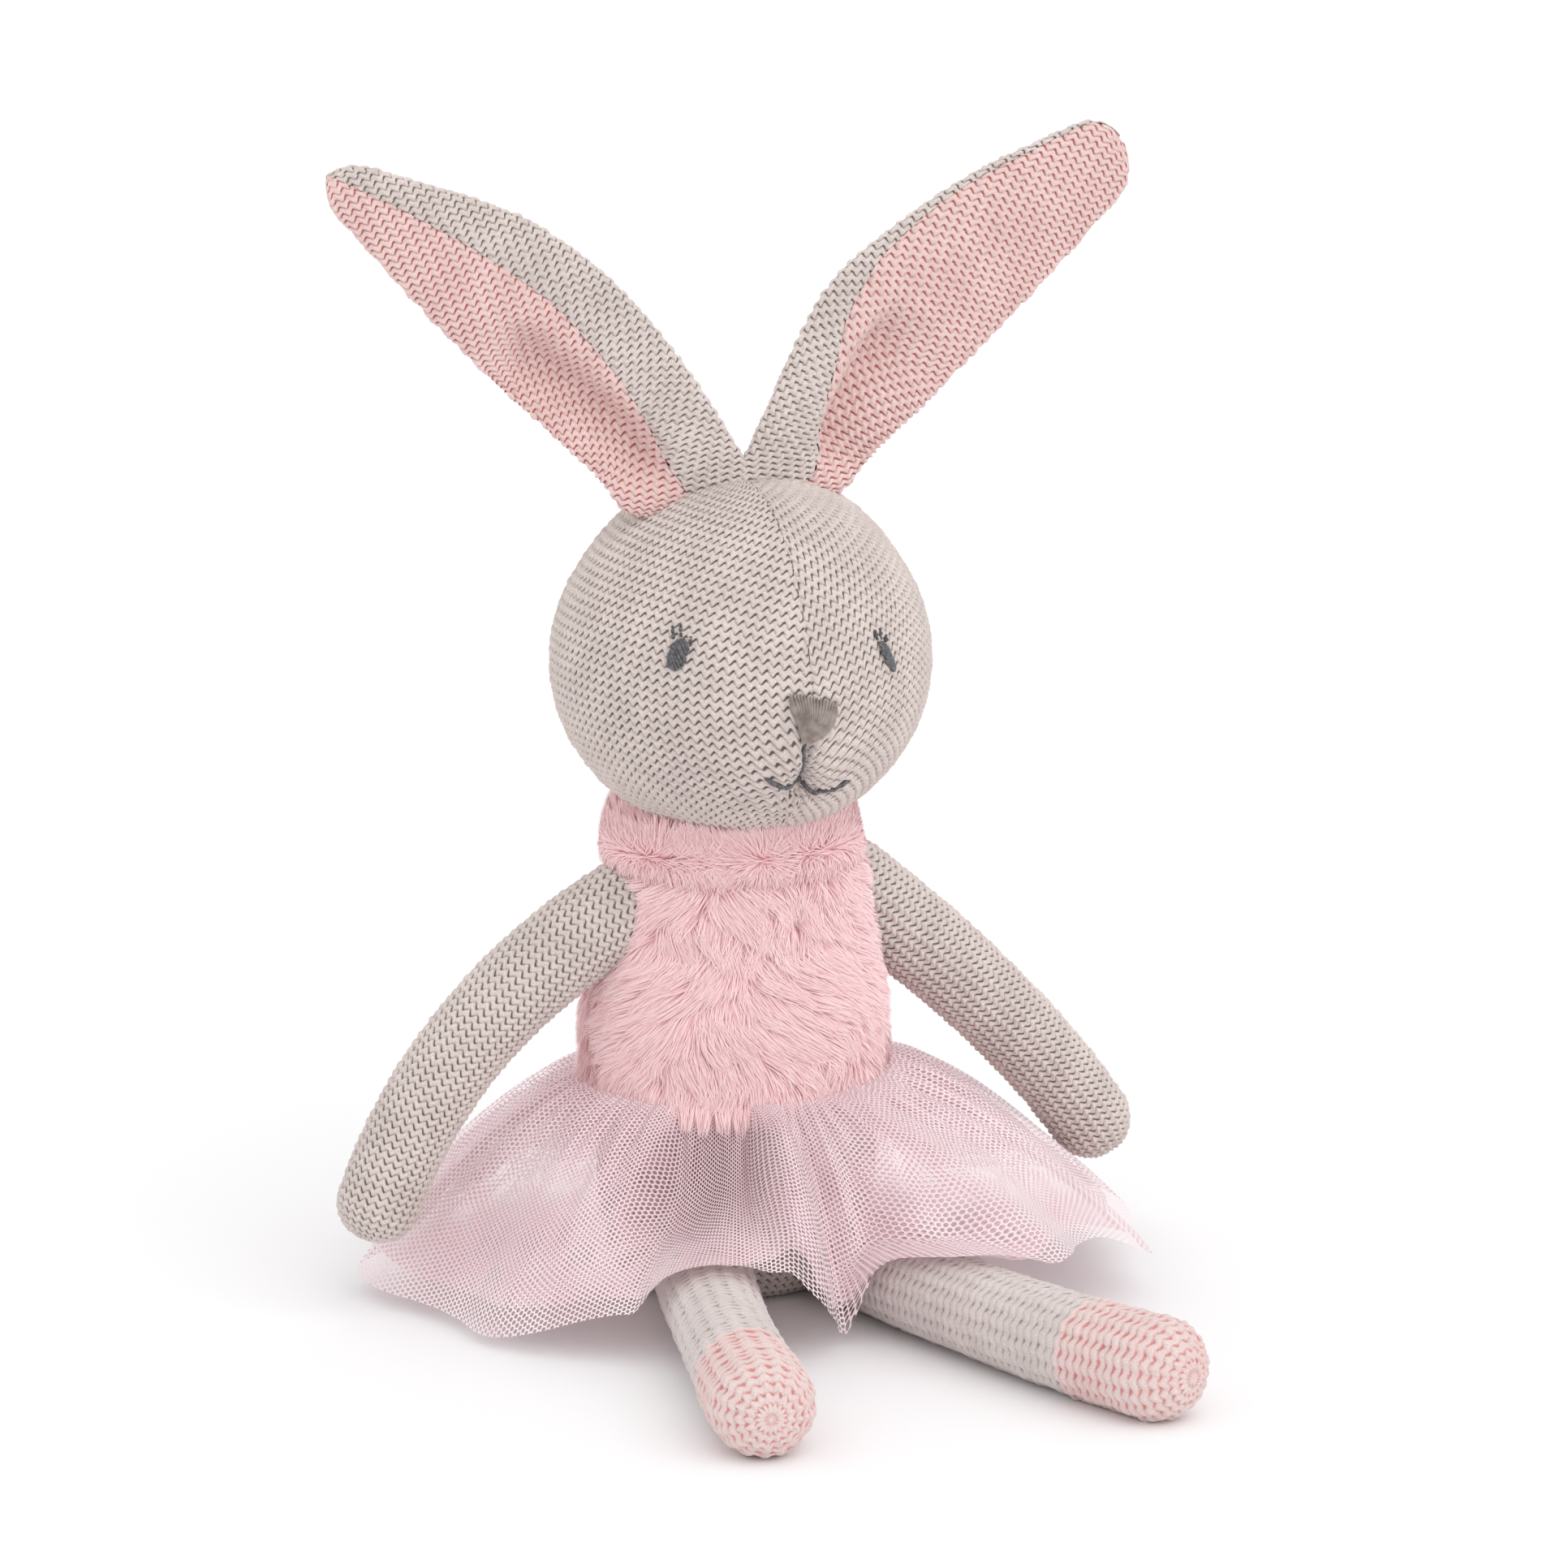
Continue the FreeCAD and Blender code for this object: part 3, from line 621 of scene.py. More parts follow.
for side_name, path in ARM_PATHS.items():
    total = limb_frame(path, ARM_RADII)[0] + ARM_RADII[2]
    span = (TIP_GAP - ARM_RADII[0], total - TIP_GAP)
    seed = ARM_SEEDS[side_name]
    arm = limb_piece(
        f"arm_knit_{side_name}", path, ARM_RADII, ARM_STITCH, span, purl, seed, ARM_RELIEF, GREY_YARN
    )
    nodes = (f"arm_cover_{side_name}", f"arm_stuffing_{side_name}")
    finish_piece(arm, f"arm_{side_name}", "knit_grey", *nodes, fill=LIMB_FILL)

for side_name, path in LEG_PATHS.items():
    total = limb_frame(path, LEG_RADII)[0] + LEG_RADII[2]
    edge = total - SLIPPER_LENGTH
    for part, span, material, slot, nodes in (
        (
            "leg",
            (TIP_GAP - LEG_RADII[0], edge),
            PALE_GREY_YARN,
            "knit_pale_grey",
            (f"leg_cover_{side_name}", f"leg_stuffing_{side_name}"),
        ),
        ("slipper", (edge, total - TIP_GAP), SLIPPER_YARN, "knit_pink", (f"slipper_{side_name}",)),
    ):
        piece = limb_piece(
            f"{part}_knit_{side_name}",
            path,
            LEG_RADII,
            LEG_STITCH,
            span,
            leg_stitches,
            LEG_SEED,
            LEG_RELIEFS[part],
            material,
            LEG_GAPS[part],
        )
        finish_piece(piece, f"leg_{side_name}", slot, *nodes, fill=LIMB_FILL)

# ---------------------------------------------------------------- ears

EAR_ROOTS = {"left": (14.6, 207.8), "right": (17.8, 207.8)}
EAR_BEND = (45.0, 252.0)
EAR_TIPS = {"left": (101.0, 281.8), "right": (107.0, 289.5)}
EAR_BASE_WAY = vector(0.257, 0, 0.966)  # straight out of the head at the root
EAR_UPRIGHT_SHARE = 0.3  # up to here the sections turn from the head's slope to the ear's own
EAR_START = -0.14  # share of the way to the tip at which the ear ends inside the head
EAR_ROUND_BELOW = 0.08  # share of the rows over which it closes there
EAR_OUTER_RISE = 0.045  # the outer edge comes out of the head this much further up
EAR_DEPTH = -3.0
EAR_HALF_WIDTH = 18.5
EAR_HALF_THICKNESS = 5.0
EAR_SHARES = (0.0, 0.1, 0.2, 0.32, 0.44, 0.55, 0.66, 0.76, 0.85, 0.92, 0.97, 1.0)
EAR_WIDTHS = {
    "left": (0.80, 0.84, 0.90, 0.97, 1.00, 1.00, 0.96, 0.88, 0.77, 0.66, 0.58, 0.54),
    "right": (0.92, 0.92, 0.94, 0.98, 1.01, 0.98, 0.90, 0.77, 0.60, 0.46, 0.36, 0.32),
}
EAR_INNER_BULGE = {"left": 0.24, "right": 0.0}  # how far a fold pushes out the inner edge
EAR_INNER_TRIM = 0.14  # how much the inner edge draws back near the tip
EAR_ROUND_FROM = 0.94  # share of the way to the tip at which the ear starts to round off
EAR_THICKNESSES = (1.0, 1.0, 1.03, 1.05, 1.03, 1.0, 0.98, 0.95, 0.88, 0.78, 0.70, 0.66)
EAR_WRAP = 0.3  # how far the lining reaches behind the outer edge, in radians
EAR_ROW_TILT = 0.6  # the rows slope down outward by this angle from straight across the ear
EAR_ROWS = 460
EAR_COLUMNS = {"lining": 100, "back": 140}
EAR_RELIEF = 1.1
EAR_SEED = 7
EAR_FILL = 0.4
# Where the lining's seam runs across the front, from -1 at the inner edge to 1 at the outer.
EAR_SEAMS = {
    "left": ((0.0, 0.25), (0.12, -0.20), (0.3, -0.66), (0.45, -0.85), (0.6, -0.92), (1.0, -0.92)),
    "right": ((0.0, 0.02), (0.2, -0.12), (0.5, -0.26), (0.8, -0.20), (1.0, -0.10)),
}
EAR_VALLEYS = {"left": (7.8, 0.46), "right": (8.8, 0.60)}  # depth, and how far up it reaches
EAR_VALLEY_WIDTHS = (0.13, 0.42)  # steep towards the seam and gentle away from it
EAR_GROOVE = (0.55, 0.7)  # depth and width of the line along the seam
EAR_CURLS = (3.6, 1.6)  # how far the edges curl forward, at the root and at the tip


def ear_section(side_name, share, turn, opening):
    """Points across an ear at a share of its length. turn runs round the section from the
    inner edge over the front to the outer edge, and back behind. opening is 0 where the ear
    closes inside the head, and 1 above there."""
    side = SIDES[side_name]
    path = tuple(
        vector(x * side, EAR_DEPTH, z)
        for x, z in (EAR_ROOTS[side_name], EAR_BEND, EAR_TIPS[side_name])
    )
    place, along = bezier(path, share)
    blend = smooth_step(0, EAR_UPRIGHT_SHARE, share)[..., None]
    along = unit(EAR_BASE_WAY * vector(side, 1, 1) * (1 - blend) + along * blend)
    across = np.cross(along, FORWARD) * side
    past = np.clip((share - EAR_ROUND_FROM) / (1 - EAR_ROUND_FROM), 0, 1)
    closing = np.sqrt(1 - past**2) * opening
    half_width = np.interp(share, EAR_SHARES, EAR_WIDTHS[side_name]) * EAR_HALF_WIDTH * closing
    half_thick = np.interp(share, EAR_SHARES, EAR_THICKNESSES) * EAR_HALF_THICKNESS * closing
    reach = -np.cos(turn)
    front = np.sin(turn)
    seam = np.interp(share, *zip(*EAR_SEAMS[side_name]))
    depth, top = EAR_VALLEYS[side_name]
    deep = depth * (1 - smooth_step(top * 0.7, top, share)) * smooth_step(-0.05, 0.1, share)
    deep = deep * opening
    centre = seam + 0.2 + 0.42 * smooth_step(0.0, top, share)
    in_front = smooth_step(0.0, 0.3, front)
    valley = deep * bell(reach - centre, np.where(reach < centre, *EAR_VALLEY_WIDTHS)) * in_front
    groove = EAR_GROOVE[0] * bell((reach - seam) * half_width, EAR_GROOVE[1]) * in_front
    curl = (EAR_CURLS[0] - (EAR_CURLS[0] - EAR_CURLS[1]) * share) * reach**2
    forward = half_thick * front - valley - groove * opening + curl * opening
    bulge = EAR_INNER_BULGE[side_name] * bell(share - 0.34, 0.13)
    bulge = bulge - EAR_INNER_TRIM * smooth_step(0.6, 0.9, share)
    sideways = reach * (1 + np.where(reach < 0, bulge, 0) * np.abs(reach))
    return place + across * (half_width * sideways)[..., None] + FORWARD * forward[..., None]


def ear_piece(side_name, part, material):
    """The lining, or the back that folds over the inner edge to meet it."""
    side = SIDES[side_name]
    count = EAR_COLUMNS[part]
    shares = np.linspace(EAR_START, 0.9995, EAR_ROWS)
    seam_turn = np.arccos(-np.interp(shares, *zip(*EAR_SEAMS[side_name])))
    outer_seam = np.full_like(seam_turn, math.pi + EAR_WRAP)
    start, end = (seam_turn, outer_seam) if part == "lining" else (outer_seam, TURN + seam_turn)
    turn = start[:, None] + (end - start)[:, None] * np.linspace(0, 1, count)[None, :]
    progress = np.linspace(0, 1, EAR_ROWS)[:, None]
    outer = (0.5 - 0.5 * np.cos(turn)) * (1 - progress)
    share = shares[:, None] + EAR_OUTER_RISE * outer
    inside = np.clip(1 - progress / EAR_ROUND_BELOW, 0, 0.999)
    points = ear_section(side_name, share, turn, np.sqrt(1 - inside**2))
    normals = grid_normals(points) * side
    arc = np.linalg.norm(np.diff(points, axis=1), axis=2)
    girth = np.concatenate([np.zeros((EAR_ROWS, 1)), np.cumsum(arc, axis=1)], axis=1)
    if part == "back":
        girth = girth - girth[:, -1:]
    lengths = curve_lengths(points[:, count // 2])[:, None]
    cos_tilt, sin_tilt = math.cos(EAR_ROW_TILT), math.sin(EAR_ROW_TILT)
    row = (lengths * cos_tilt - girth * sin_tilt) / ARM_STITCH[1]
    column = (girth * cos_tilt + lengths * sin_tilt) / ARM_STITCH[0]
    relief = EAR_RELIEF * smooth_step(0.0, 0.04, 1 - share)
    name = f"ear_{part}_knit_{side_name}"
    seed = EAR_SEED + side
    return knitted_mesh(
        name, points, normals, relief, (column, row), seed, material, flipped=side < 0
    )


for side_name in SIDES:
    for part, material, slot, nodes in (
        ("lining", PINK_YARN, "knit_pink", (f"ear_lining_{side_name}",)),
        ("back", GREY_YARN, "knit_grey", (f"ear_back_{side_name}", f"ear_wadding_{side_name}")),
    ):
        piece = ear_piece(side_name, part, material)
        finish_piece(piece, f"ear_{side_name}", slot, *nodes, fill=EAR_FILL)

# ---------------------------------------------------------------- embroidery

THREAD_LIFT = 0.55  # how far the middle of a thread stands off the head's skin
THREAD_SIDES = 8


def smooth_line(points, count):
    """Evenly spaced places on a smooth curve through the points."""
    points = np.asarray(points, float)
    ends = [2 * points[0] - points[1], *points, 2 * points[-1] - points[-2]]
    pieces = []
    for before, start, end, after in zip(ends, ends[1:], ends[2:], ends[3:]):
        share = np.linspace(0, 1, 12, endpoint=False)[:, None]
        bend = (after - 3 * end + 3 * start - before) * share**3
        bend = bend + (2 * before - 5 * start + 4 * end - after) * share**2
        pieces.append(start + ((end - before) * share + bend) / 2)
    line = np.concatenate([*pieces, points[-1:]])
    lengths = curve_lengths(line)
    wanted = np.linspace(0, lengths[-1], count)
    return np.stack([np.interp(wanted, lengths, line[:, axis]) for axis in range(2)], axis=1)


def on_face(line, lift):
    """Points over the face, for places across and up from the head's centre, and normals."""
    side_part = line[:, 0] / HEAD_HALF[0]
    up_part = line[:, 1] / HEAD_HALF[2]
    front_part = np.sqrt(np.maximum(0.0, 1 - side_part**2 - up_part**2))
    points, normals = head_shape(np.stack([side_part, -front_part, up_part], axis=-1))
    return points + normals * np.reshape(lift, (-1, 1)), normals


def thread(line, lift, radius):
    """A tube over the face along a line, with closed ends. radius may change along it."""
    points, normals = on_face(line, lift)
    along = unit(np.gradient(points, axis=0))
    across = unit(np.cross(along, normals))
    above = np.cross(across, along)
    turn = full_turn(THREAD_SIDES)
    ends = np.sqrt(np.clip(1 - np.linspace(-1, 1, len(points)) ** 8, 0, 1))
    spoke = across[:, None] * np.cos(turn)[:, None] + above[:, None] * np.sin(turn)[:, None]
    return points[:, None] + spoke * (radius * ends)[:, None, None]


def thread_piece(name, node, threads, material, slot="thread_slate"):
    """One piece of many threads on the head."""
    points, faces, first = [], [], 0
    for tube in threads:
        rows, around = tube.shape[:2]
        points.append(tube.reshape(-1, 3))
        faces.append(grid_faces(rows, around, closed=True, first=first))
        first += rows * around
    piece = mesh_object(name, np.concatenate(points), np.concatenate(faces), material)
    finish_piece(piece, "head", slot, node)


def satin_eye(centre, long_half, short_half):
    """Threads side by side that fill a slanted oval."""
    threads = []
    for number in range(EYE_THREADS):
        spread = math.pi * (number + 0.6) / (EYE_THREADS + 0.2)
        ends = []
        for turn in (EYE_TILT + spread, EYE_TILT - spread):
            end = centre + long_half * math.sin(turn) + short_half * math.cos(turn)
            ends.append(end + jitter(2, EYE_RAGGED))
        share = np.linspace(0, 1, 12)[:, None]
        lift = THREAD_LIFT + EYE_RISE * np.sin(math.pi * share[:, 0]) * math.sin(spread)
        threads.append(thread(ends[0] * (1 - share) + ends[1] * share, lift, EYE_THREAD_RADIUS))
    return threads


def running_stitch(points, count, radius, sink=0.0, stitch=2.0):
    """One thread along a smooth line. sink is how deep it dives between its stitches."""
    line = smooth_line(points, count)
    lift = THREAD_LIFT - sink * (0.5 - 0.5 * np.cos(TURN * curve_lengths(line) / stitch))
    return thread(line, lift, radius)


EYE_THREADS = 13
EYE_THREAD_RADIUS = 0.42
EYE_TILT = 0.75  # of the threads against the eye's long axis, in radians
EYE_RAGGED = 0.45  # how far the threads' ends stray
EYE_RISE = 0.45  # how far the middle of an eye stands out
# Centre, half of the long axis and half of the short axis, across and up from the head's centre.
EYES = {
    "left": (vector(22.0, 7.2), vector(-2.1, 4.0), vector(1.3, 0.1)),
    "right": (vector(-29.5, 11.2), vector(0.9, 3.9), vector(2.0, 0.25)),
}
LASHES = {
    "left": (((20.9, 13.9), (20.6, 11.4)), ((19.2, 13.8), (19.6, 11.5)), ((22.6, 12.2), (22.2, 10.4))),
    "right": (
        ((-29.8, 17.6), (-30.1, 14.6)),
        ((-28.2, 18.1), (-28.5, 15.0)),
        ((-26.5, 15.6), (-26.9, 13.4)),
    ),
}
for side_name, oval in EYES.items():
    thread_piece(f"eye_satin_{side_name}", f"eye_{side_name}", satin_eye(*oval), EYE_THREAD)
    lashes = [running_stitch(ends, 36, 0.42, sink=1.1, stitch=1.15) for ends in LASHES[side_name]]
    thread_piece(f"lash_stitches_{side_name}", f"lashes_{side_name}", lashes, EYE_THREAD)

NOSE_OUTLINE = (
    (-3.9, -4.4), (-5.2, -1.2), (-6.0, 1.6), (-4.9, 2.6), (0.4, 1.1),
    (4.8, 0.0), (6.2, -1.2), (6.1, -4.0), (4.7, -6.8),
)
NOSE_POINT = vector(-1.3, -10.6)  # where all the nose's threads meet
NOSE_POINT_WIDTH = 0.8
NOSE_THREADS = 30
NOSE_RISE = 1.5
nose_threads = []
for spread, end in zip(np.linspace(-1, 1, NOSE_THREADS), smooth_line(NOSE_OUTLINE, NOSE_THREADS)):
    start = NOSE_POINT + vector(NOSE_POINT_WIDTH * spread, 0)
    share = np.linspace(0, 1, 14)[:, None]
    rise = np.sin(math.pi * np.clip(share[:, 0] * 1.05, 0, 1)) ** 0.7
    lift = THREAD_LIFT + NOSE_RISE * rise * (1 - 0.65 * spread**2)
    line = start * (1 - share) + end * share
    nose_threads.append(thread(line, lift, 0.28 + 0.18 * share[:, 0]))
thread_piece("nose_satin", "nose", nose_threads, NOSE_THREAD, "thread_taupe")

SMILE_LEFT = ((13.1, -22.2), (8.8, -23.9), (4.8, -24.3), (1.4, -23.3), (-1.0, -21.6))
SMILE_RIGHT = ((-10.2, -18.4), (-7.3, -20.2), (-4.3, -21.6), (-1.0, -21.6))
PHILTRUM = ((-1.3, -10.4), (-0.8, -16.5), (-1.0, -21.6))
mouth_threads = [
    running_stitch(SMILE_LEFT, 60, 0.62, sink=0.3, stitch=2.4),
    running_stitch(SMILE_RIGHT, 60, 0.62, sink=0.3, stitch=2.4),
    running_stitch(PHILTRUM, 40, 0.5),
]
thread_piece("mouth_stitches", "mouth", mouth_threads, EYE_THREAD)

# ---------------------------------------------------------------- torso, hips and neck

TORSO_HALF = (36.0, 30.0)
# Height, and the half-width and half-depth as shares of the torso's own.
TORSO_RINGS = (
    (0.0, 0.66, 0.66), (1.5, 0.75, 0.75), (3.0, 0.81, 0.81), (6.0, 0.88, 0.88),
    (10.0, 0.93, 0.93), (25.0, 1.00, 1.00), (54.0, 1.00, 0.98), (76.0, 0.99, 0.97),
    (95.0, 0.89, 0.90), (110.0, 0.83, 0.88), (114.3, 0.88, 0.93), (118.4, 0.86, 0.91),
)
WAIST = 54.0
HIP_ROWS = 220
HIP_AROUND = 420
HIP_STITCHES = 80
HIP_INSET = 0.8
HIP_RELIEF = 0.6
SEAT_ROWS = 40
NECK_PROFILE = (  # radius and height
    (0.0, 98.0), (9.0, 98.0), (13.8, 99.5), (14.8, 103.0),
    (14.8, 112.0), (12.0, 115.0), (0.0, 115.6),
)
NECK_ROWS = 40
NECK_AROUND = 96
NECK_LUMPS = 0.35


def torso_point(angle, height, inset=0.0):
    """A point on the torso, and its normal. The angle runs from the front towards the left."""
    heights, widths, depths = zip(*TORSO_RINGS)
    half_width = np.interp(height, heights, widths) * TORSO_HALF[0] - inset
    half_depth = np.interp(height, heights, depths) * TORSO_HALF[1] - inset
    place = np.stack([half_width * np.sin(angle), -half_depth * np.cos(angle), height], axis=-1)
    normal = np.stack(
        [half_depth * np.sin(angle), -half_width * np.cos(angle), np.zeros_like(angle * height)],
        axis=-1,
    )
    return place, unit(normal)


def hip_piece():
    """The knitted lower body with its flat seat, both under the tutu."""
    height, turn = np.meshgrid(
        np.linspace(0, WAIST, HIP_ROWS), full_turn(HIP_AROUND), indexing="ij"
    )
    points, normals = torso_point(turn, height, HIP_INSET)
    column = turn / TURN * HIP_STITCHES
    row = height / ARM_STITCH[1]
    rise, gap = purl(column, row, seed=3)
    points = points + normals * (HIP_RELIEF * (rise - 0.5))[..., None]
    seat = points[0][None] * np.linspace(0, 0.97, SEAT_ROWS)[:, None, None]
    seat_rise, _ = purl(column[:SEAT_ROWS], row[:SEAT_ROWS] * 2)
    seat[..., 2] = points[0, :, 2] + HIP_RELIEF * (seat_rise - 0.4)
    points = np.concatenate([seat, points])
    uv = np.stack([column, row], axis=-1)
    return mesh_object(
        "hip_knit",
        points,
        grid_faces(len(points), HIP_AROUND, closed=True),
        GREY_YARN,
        np.concatenate([uv[:SEAT_ROWS], uv]),
        {"gap": np.concatenate([gap[:SEAT_ROWS], gap])},
    )


def neck_piece():
    """The plug of stuffing between the torso and the head."""
    turns = full_turn(NECK_AROUND)
    line = smooth_line(NECK_PROFILE, NECK_ROWS)
    lumps = lattice_noise(np.arange(NECK_ROWS)[:, None] / 4, (turns[None] / TURN * 18) % 18, 3.0)
    radius = np.maximum(line[:, :1], 0.02) + NECK_LUMPS * (lumps - 0.5)
    points = np.stack(
        [radius * np.sin(turns), -radius * np.cos(turns), np.broadcast_to(line[:, 1:], radius.shape)],
        axis=-1,
    )
    return mesh_object("neck_plug", points, grid_faces(*radius.shape, closed=True), FIBRE)


finish_piece(hip_piece(), "torso", "knit_grey", "hip_cover", fill=0.9)

# ---------------------------------------------------------------- plush

BACKING_SHARE = 0.3  # the backing is as pale as the pile this share of the way up, so it carries part of the painted shade of the roots
STRAND_STATIONS = 6
PART_ANGLE = math.radians(-24)  # the pile parts here, down the front
PILE_LIFT = 3.8
PILE_WIDTH = 0.34
PILE_INSET = 1.6
FRINGE_HEIGHT = 6.0  # over this height above the waist the pile stands out more
CLUMP_SPACING = 4.4
SEAM_HALF = math.radians(2.4)
RIGHT_SEAM = -1.535
LEFT_SEAM = math.pi / 2
BACK_BULGE = 2.8
BACK_BULGE_ANGLE = math.radians(246)
COLLAR_LOW = 109.5
COLLAR_HIGH = 118.4
PANEL_GRID = (130, 70)
# Each panel's seams, strands, length of pile, how combed it is, and the CAD nodes it stands for.
PANELS = {
    "front": (RIGHT_SEAM, LEFT_SEAM, 42000, 8.0, 0.0, ("bodice_front_panel", "torso_stuffing")),
    "back": (LEFT_SEAM, TURN + RIGHT_SEAM, 36000, 7.0, 0.4, ("bodice_back_panel",)),
}


def strand_mesh(name, roots, normals, flows, lengths, lifts, widths, tips, material, backing):
    """Strands of pile as tapered ribbons over a backing, which is points and faces."""
    count = len(roots)
    share = np.linspace(0, 1, STRAND_STATIONS)
    share_grid = share[None, :, None]
    places = (
        roots[:, None]
        + normals[:, None] * lifts[:, None, None] * (1 - (1 - share_grid) ** 2)
        + flows[:, None] * lengths[:, None, None] * share_grid**1.25
        + tips[:, None] * share_grid**2
    )
    along = unit(np.gradient(places, axis=1))
    across = unit(np.cross(along, normals[:, None]))
    half = widths[:, None, None] / 2 * (1 - 0.86 * share_grid**2.2)
    ribbon = np.stack([places - across * half, places + across * half], axis=2)
    corner = np.arange(count)[:, None] * STRAND_STATIONS * 2 + np.arange(STRAND_STATIONS - 1) * 2
    faces = np.stack([corner, corner + 1, corner + 3, corner + 2], axis=-1).reshape(-1, 4)
    backing_points, backing_faces = backing
    backing_points = backing_points.reshape(-1, 3)
    below = len(backing_points)
    along_value = np.repeat(np.tile(share, count), 2)
    tint = np.repeat(RANDOM.random(count), STRAND_STATIONS * 2)
    return mesh_object(
        name,
        np.concatenate([backing_points, ribbon.reshape(-1, 3)]),
        np.concatenate([backing_faces, faces + below]),
        material,
        None,
        {
            "along": np.concatenate([np.full(below, BACKING_SHARE), along_value]),
            "tint": np.concatenate([np.zeros(below), tint]),
        },
    )


def tuft_cell(angle, height):
    """The column and row of the tuft that a strand belongs to."""
    column = np.floor(angle * TORSO_HALF[0] / CLUMP_SPACING)
    return column, np.floor(height / CLUMP_SPACING + 0.5 * (column % 2))


def clump_pull(angle, height):
    """How far each strand's tip is drawn towards the middle of its tuft."""
    column, row = tuft_cell(angle, height)
    middle_around = (column + 0.2 + 0.6 * hashed(column, row, 1.0)) * CLUMP_SPACING
    middle_height = (row - 0.5 * (column % 2) + 0.2 + 0.6 * hashed(column, row, 2.0)) * CLUMP_SPACING
    place, _ = torso_point(angle, height)
    tuft, _ = torso_point(middle_around / TORSO_HALF[0], middle_height)
    reach = 0.36 + 0.5 * (hashed(column, row, 3.0) - 0.5)
    return (tuft - place) * reach[:, None]


def pile_flow(angle, height, combed):
    """The way the pile lies: outward from the parting and down, with swirls."""
    _, normal = torso_point(angle, height)
    sideways = unit(np.cross(UP, normal))
    down = unit(np.cross(normal, sideways)) * -1
    away = (angle - PART_ANGLE + math.pi) % TURN - math.pi
    fan = 1.5 * np.tanh(away / 0.42) * smooth_step(56, 74, height) * (1 - combed)
    swirl = (lattice_noise(angle * TORSO_HALF[0] / 14, height / 14, 2.0) - 0.5) * 3.4
    swirl = (swirl + 1.5 * (hashed(*tuft_cell(angle, height), 9.0) - 0.5)) * (1 - 0.75 * combed)
    slant = fan + (swirl + jitter(angle.shape, 0.4)) * smooth_step(54, 66, height)
    return unit(down + sideways * slant[..., None])


def waist_line(angle):
    """The height of the waist seam, which dips at the front."""
    return WAIST - np.cos(angle - PART_ANGLE)


def back_bulge(angle, height):
    """How far the back panel swells out beside the right side seam."""
    return BACK_BULGE * bell(angle - BACK_BULGE_ANGLE, 0.3) * (1 - smooth_step(70, 92, height))


def clear_of_arms(points, *others):
    """The points that lie outside both arms, and the other values of the same strands."""
    clear = np.ones(len(points), bool)
    for path in ARM_PATHS.values():
        places, _ = bezier(path, np.linspace(0, 0.4, 24))
        distance = np.linalg.norm(points[:, None] - places[None], axis=2).min(axis=1)
        clear &= distance > ARM_RADII[0] + 0.2
    return [values[clear] for values in (points, *others)]


def plush_panel(name, low_angle, high_angle, strands, length, combed):
    """A panel of the bodice between two seams: its backing and its pile."""
    high = COLLAR_LOW + 1.0
    angle_grid, height_grid = np.meshgrid(
        np.linspace(low_angle, high_angle, PANEL_GRID[0]), np.linspace(0, 1, PANEL_GRID[1])
    )
    height_grid = waist_line(angle_grid) * (1 - height_grid) + high * height_grid
    edge = np.minimum(angle_grid - low_angle, high_angle - angle_grid)
    sunk = PILE_INSET + 1.2 * bell(edge, 0.05) - back_bulge(angle_grid, height_grid)
    backing, _ = torso_point(angle_grid, height_grid, inset=sunk)
    angle = low_angle + SEAM_HALF + RANDOM.random(strands) * (high_angle - low_angle - 2 * SEAM_HALF)
    low = waist_line(angle) + 0.5
    height = low + RANDOM.random(strands) * (high - low)
    roots, normals = torso_point(angle, height, inset=PILE_INSET - back_bulge(angle, height))
    roots, normals, angle, height, low = clear_of_arms(roots, normals, angle, height, low)
    fringe = 1 - smooth_step(low, low + FRINGE_HEIGHT, height)
    flows = pile_flow(angle, height, combed)
    sizes = length * varied(len(angle), 0.25) * (1 - 0.2 * fringe)
    lifts = PILE_LIFT * varied(len(angle), 0.3) * (1 - 0.35 * combed) + 2.0 * fringe
    widths = PILE_WIDTH * varied(len(angle), 0.3)
    tips = clump_pull(angle, height)
    backing_mesh = (backing, grid_faces(*backing.shape[:2]))
    return strand_mesh(name, roots, normals, flows, sizes, lifts, widths, tips, FUR, backing_mesh)


for panel_name, (*measures, nodes) in PANELS.items():
    panel = plush_panel(f"bodice_{panel_name}_plush", *measures)
    finish_piece(panel, "torso", "plush_pink", *nodes, fill=0.9)


COLLAR_FLARE = 0.6  # how far it stands out at its top, on average
COLLAR_LEAN = 1.6  # how much further than that on the right, and less on the left
COLLAR_COLUMNS = 160
COLLAR_STRANDS = 25000
COLLAR_PILE_WIDTH = 0.36
COLLAR_ROLL_PILE = 0.24  # the share of its pile that grows on the rolled top
# Heights of the collar's backing, and how far it lies inside the pile's outline.
COLLAR_SECTION = (
    (COLLAR_LOW - 0.5, 3.0),
    (COLLAR_LOW, 1.2),
    (COLLAR_LOW + 2, 0.9),
    (114.3, 0.8),
    (117.0, 1.0),
    (COLLAR_HIGH, 1.4),
)
# From its rim in to the neck: shares of the rim's radius, and heights.
COLLAR_ROLL = ((0.98, 121.0), (0.92, 123.2), (0.83, 123.2), (0.68, 120.6), (0.5, 117.6))


def collar_point(angle, height, inset):
    """A point on the collar, which flares out at its top, and its normal."""
    height = np.broadcast_to(height, angle.shape)
    rise = smooth_step(COLLAR_LOW, COLLAR_HIGH - 2.0, height)
    return torso_point(angle, height, inset - rise * (COLLAR_FLARE - COLLAR_LEAN * np.sin(angle)))


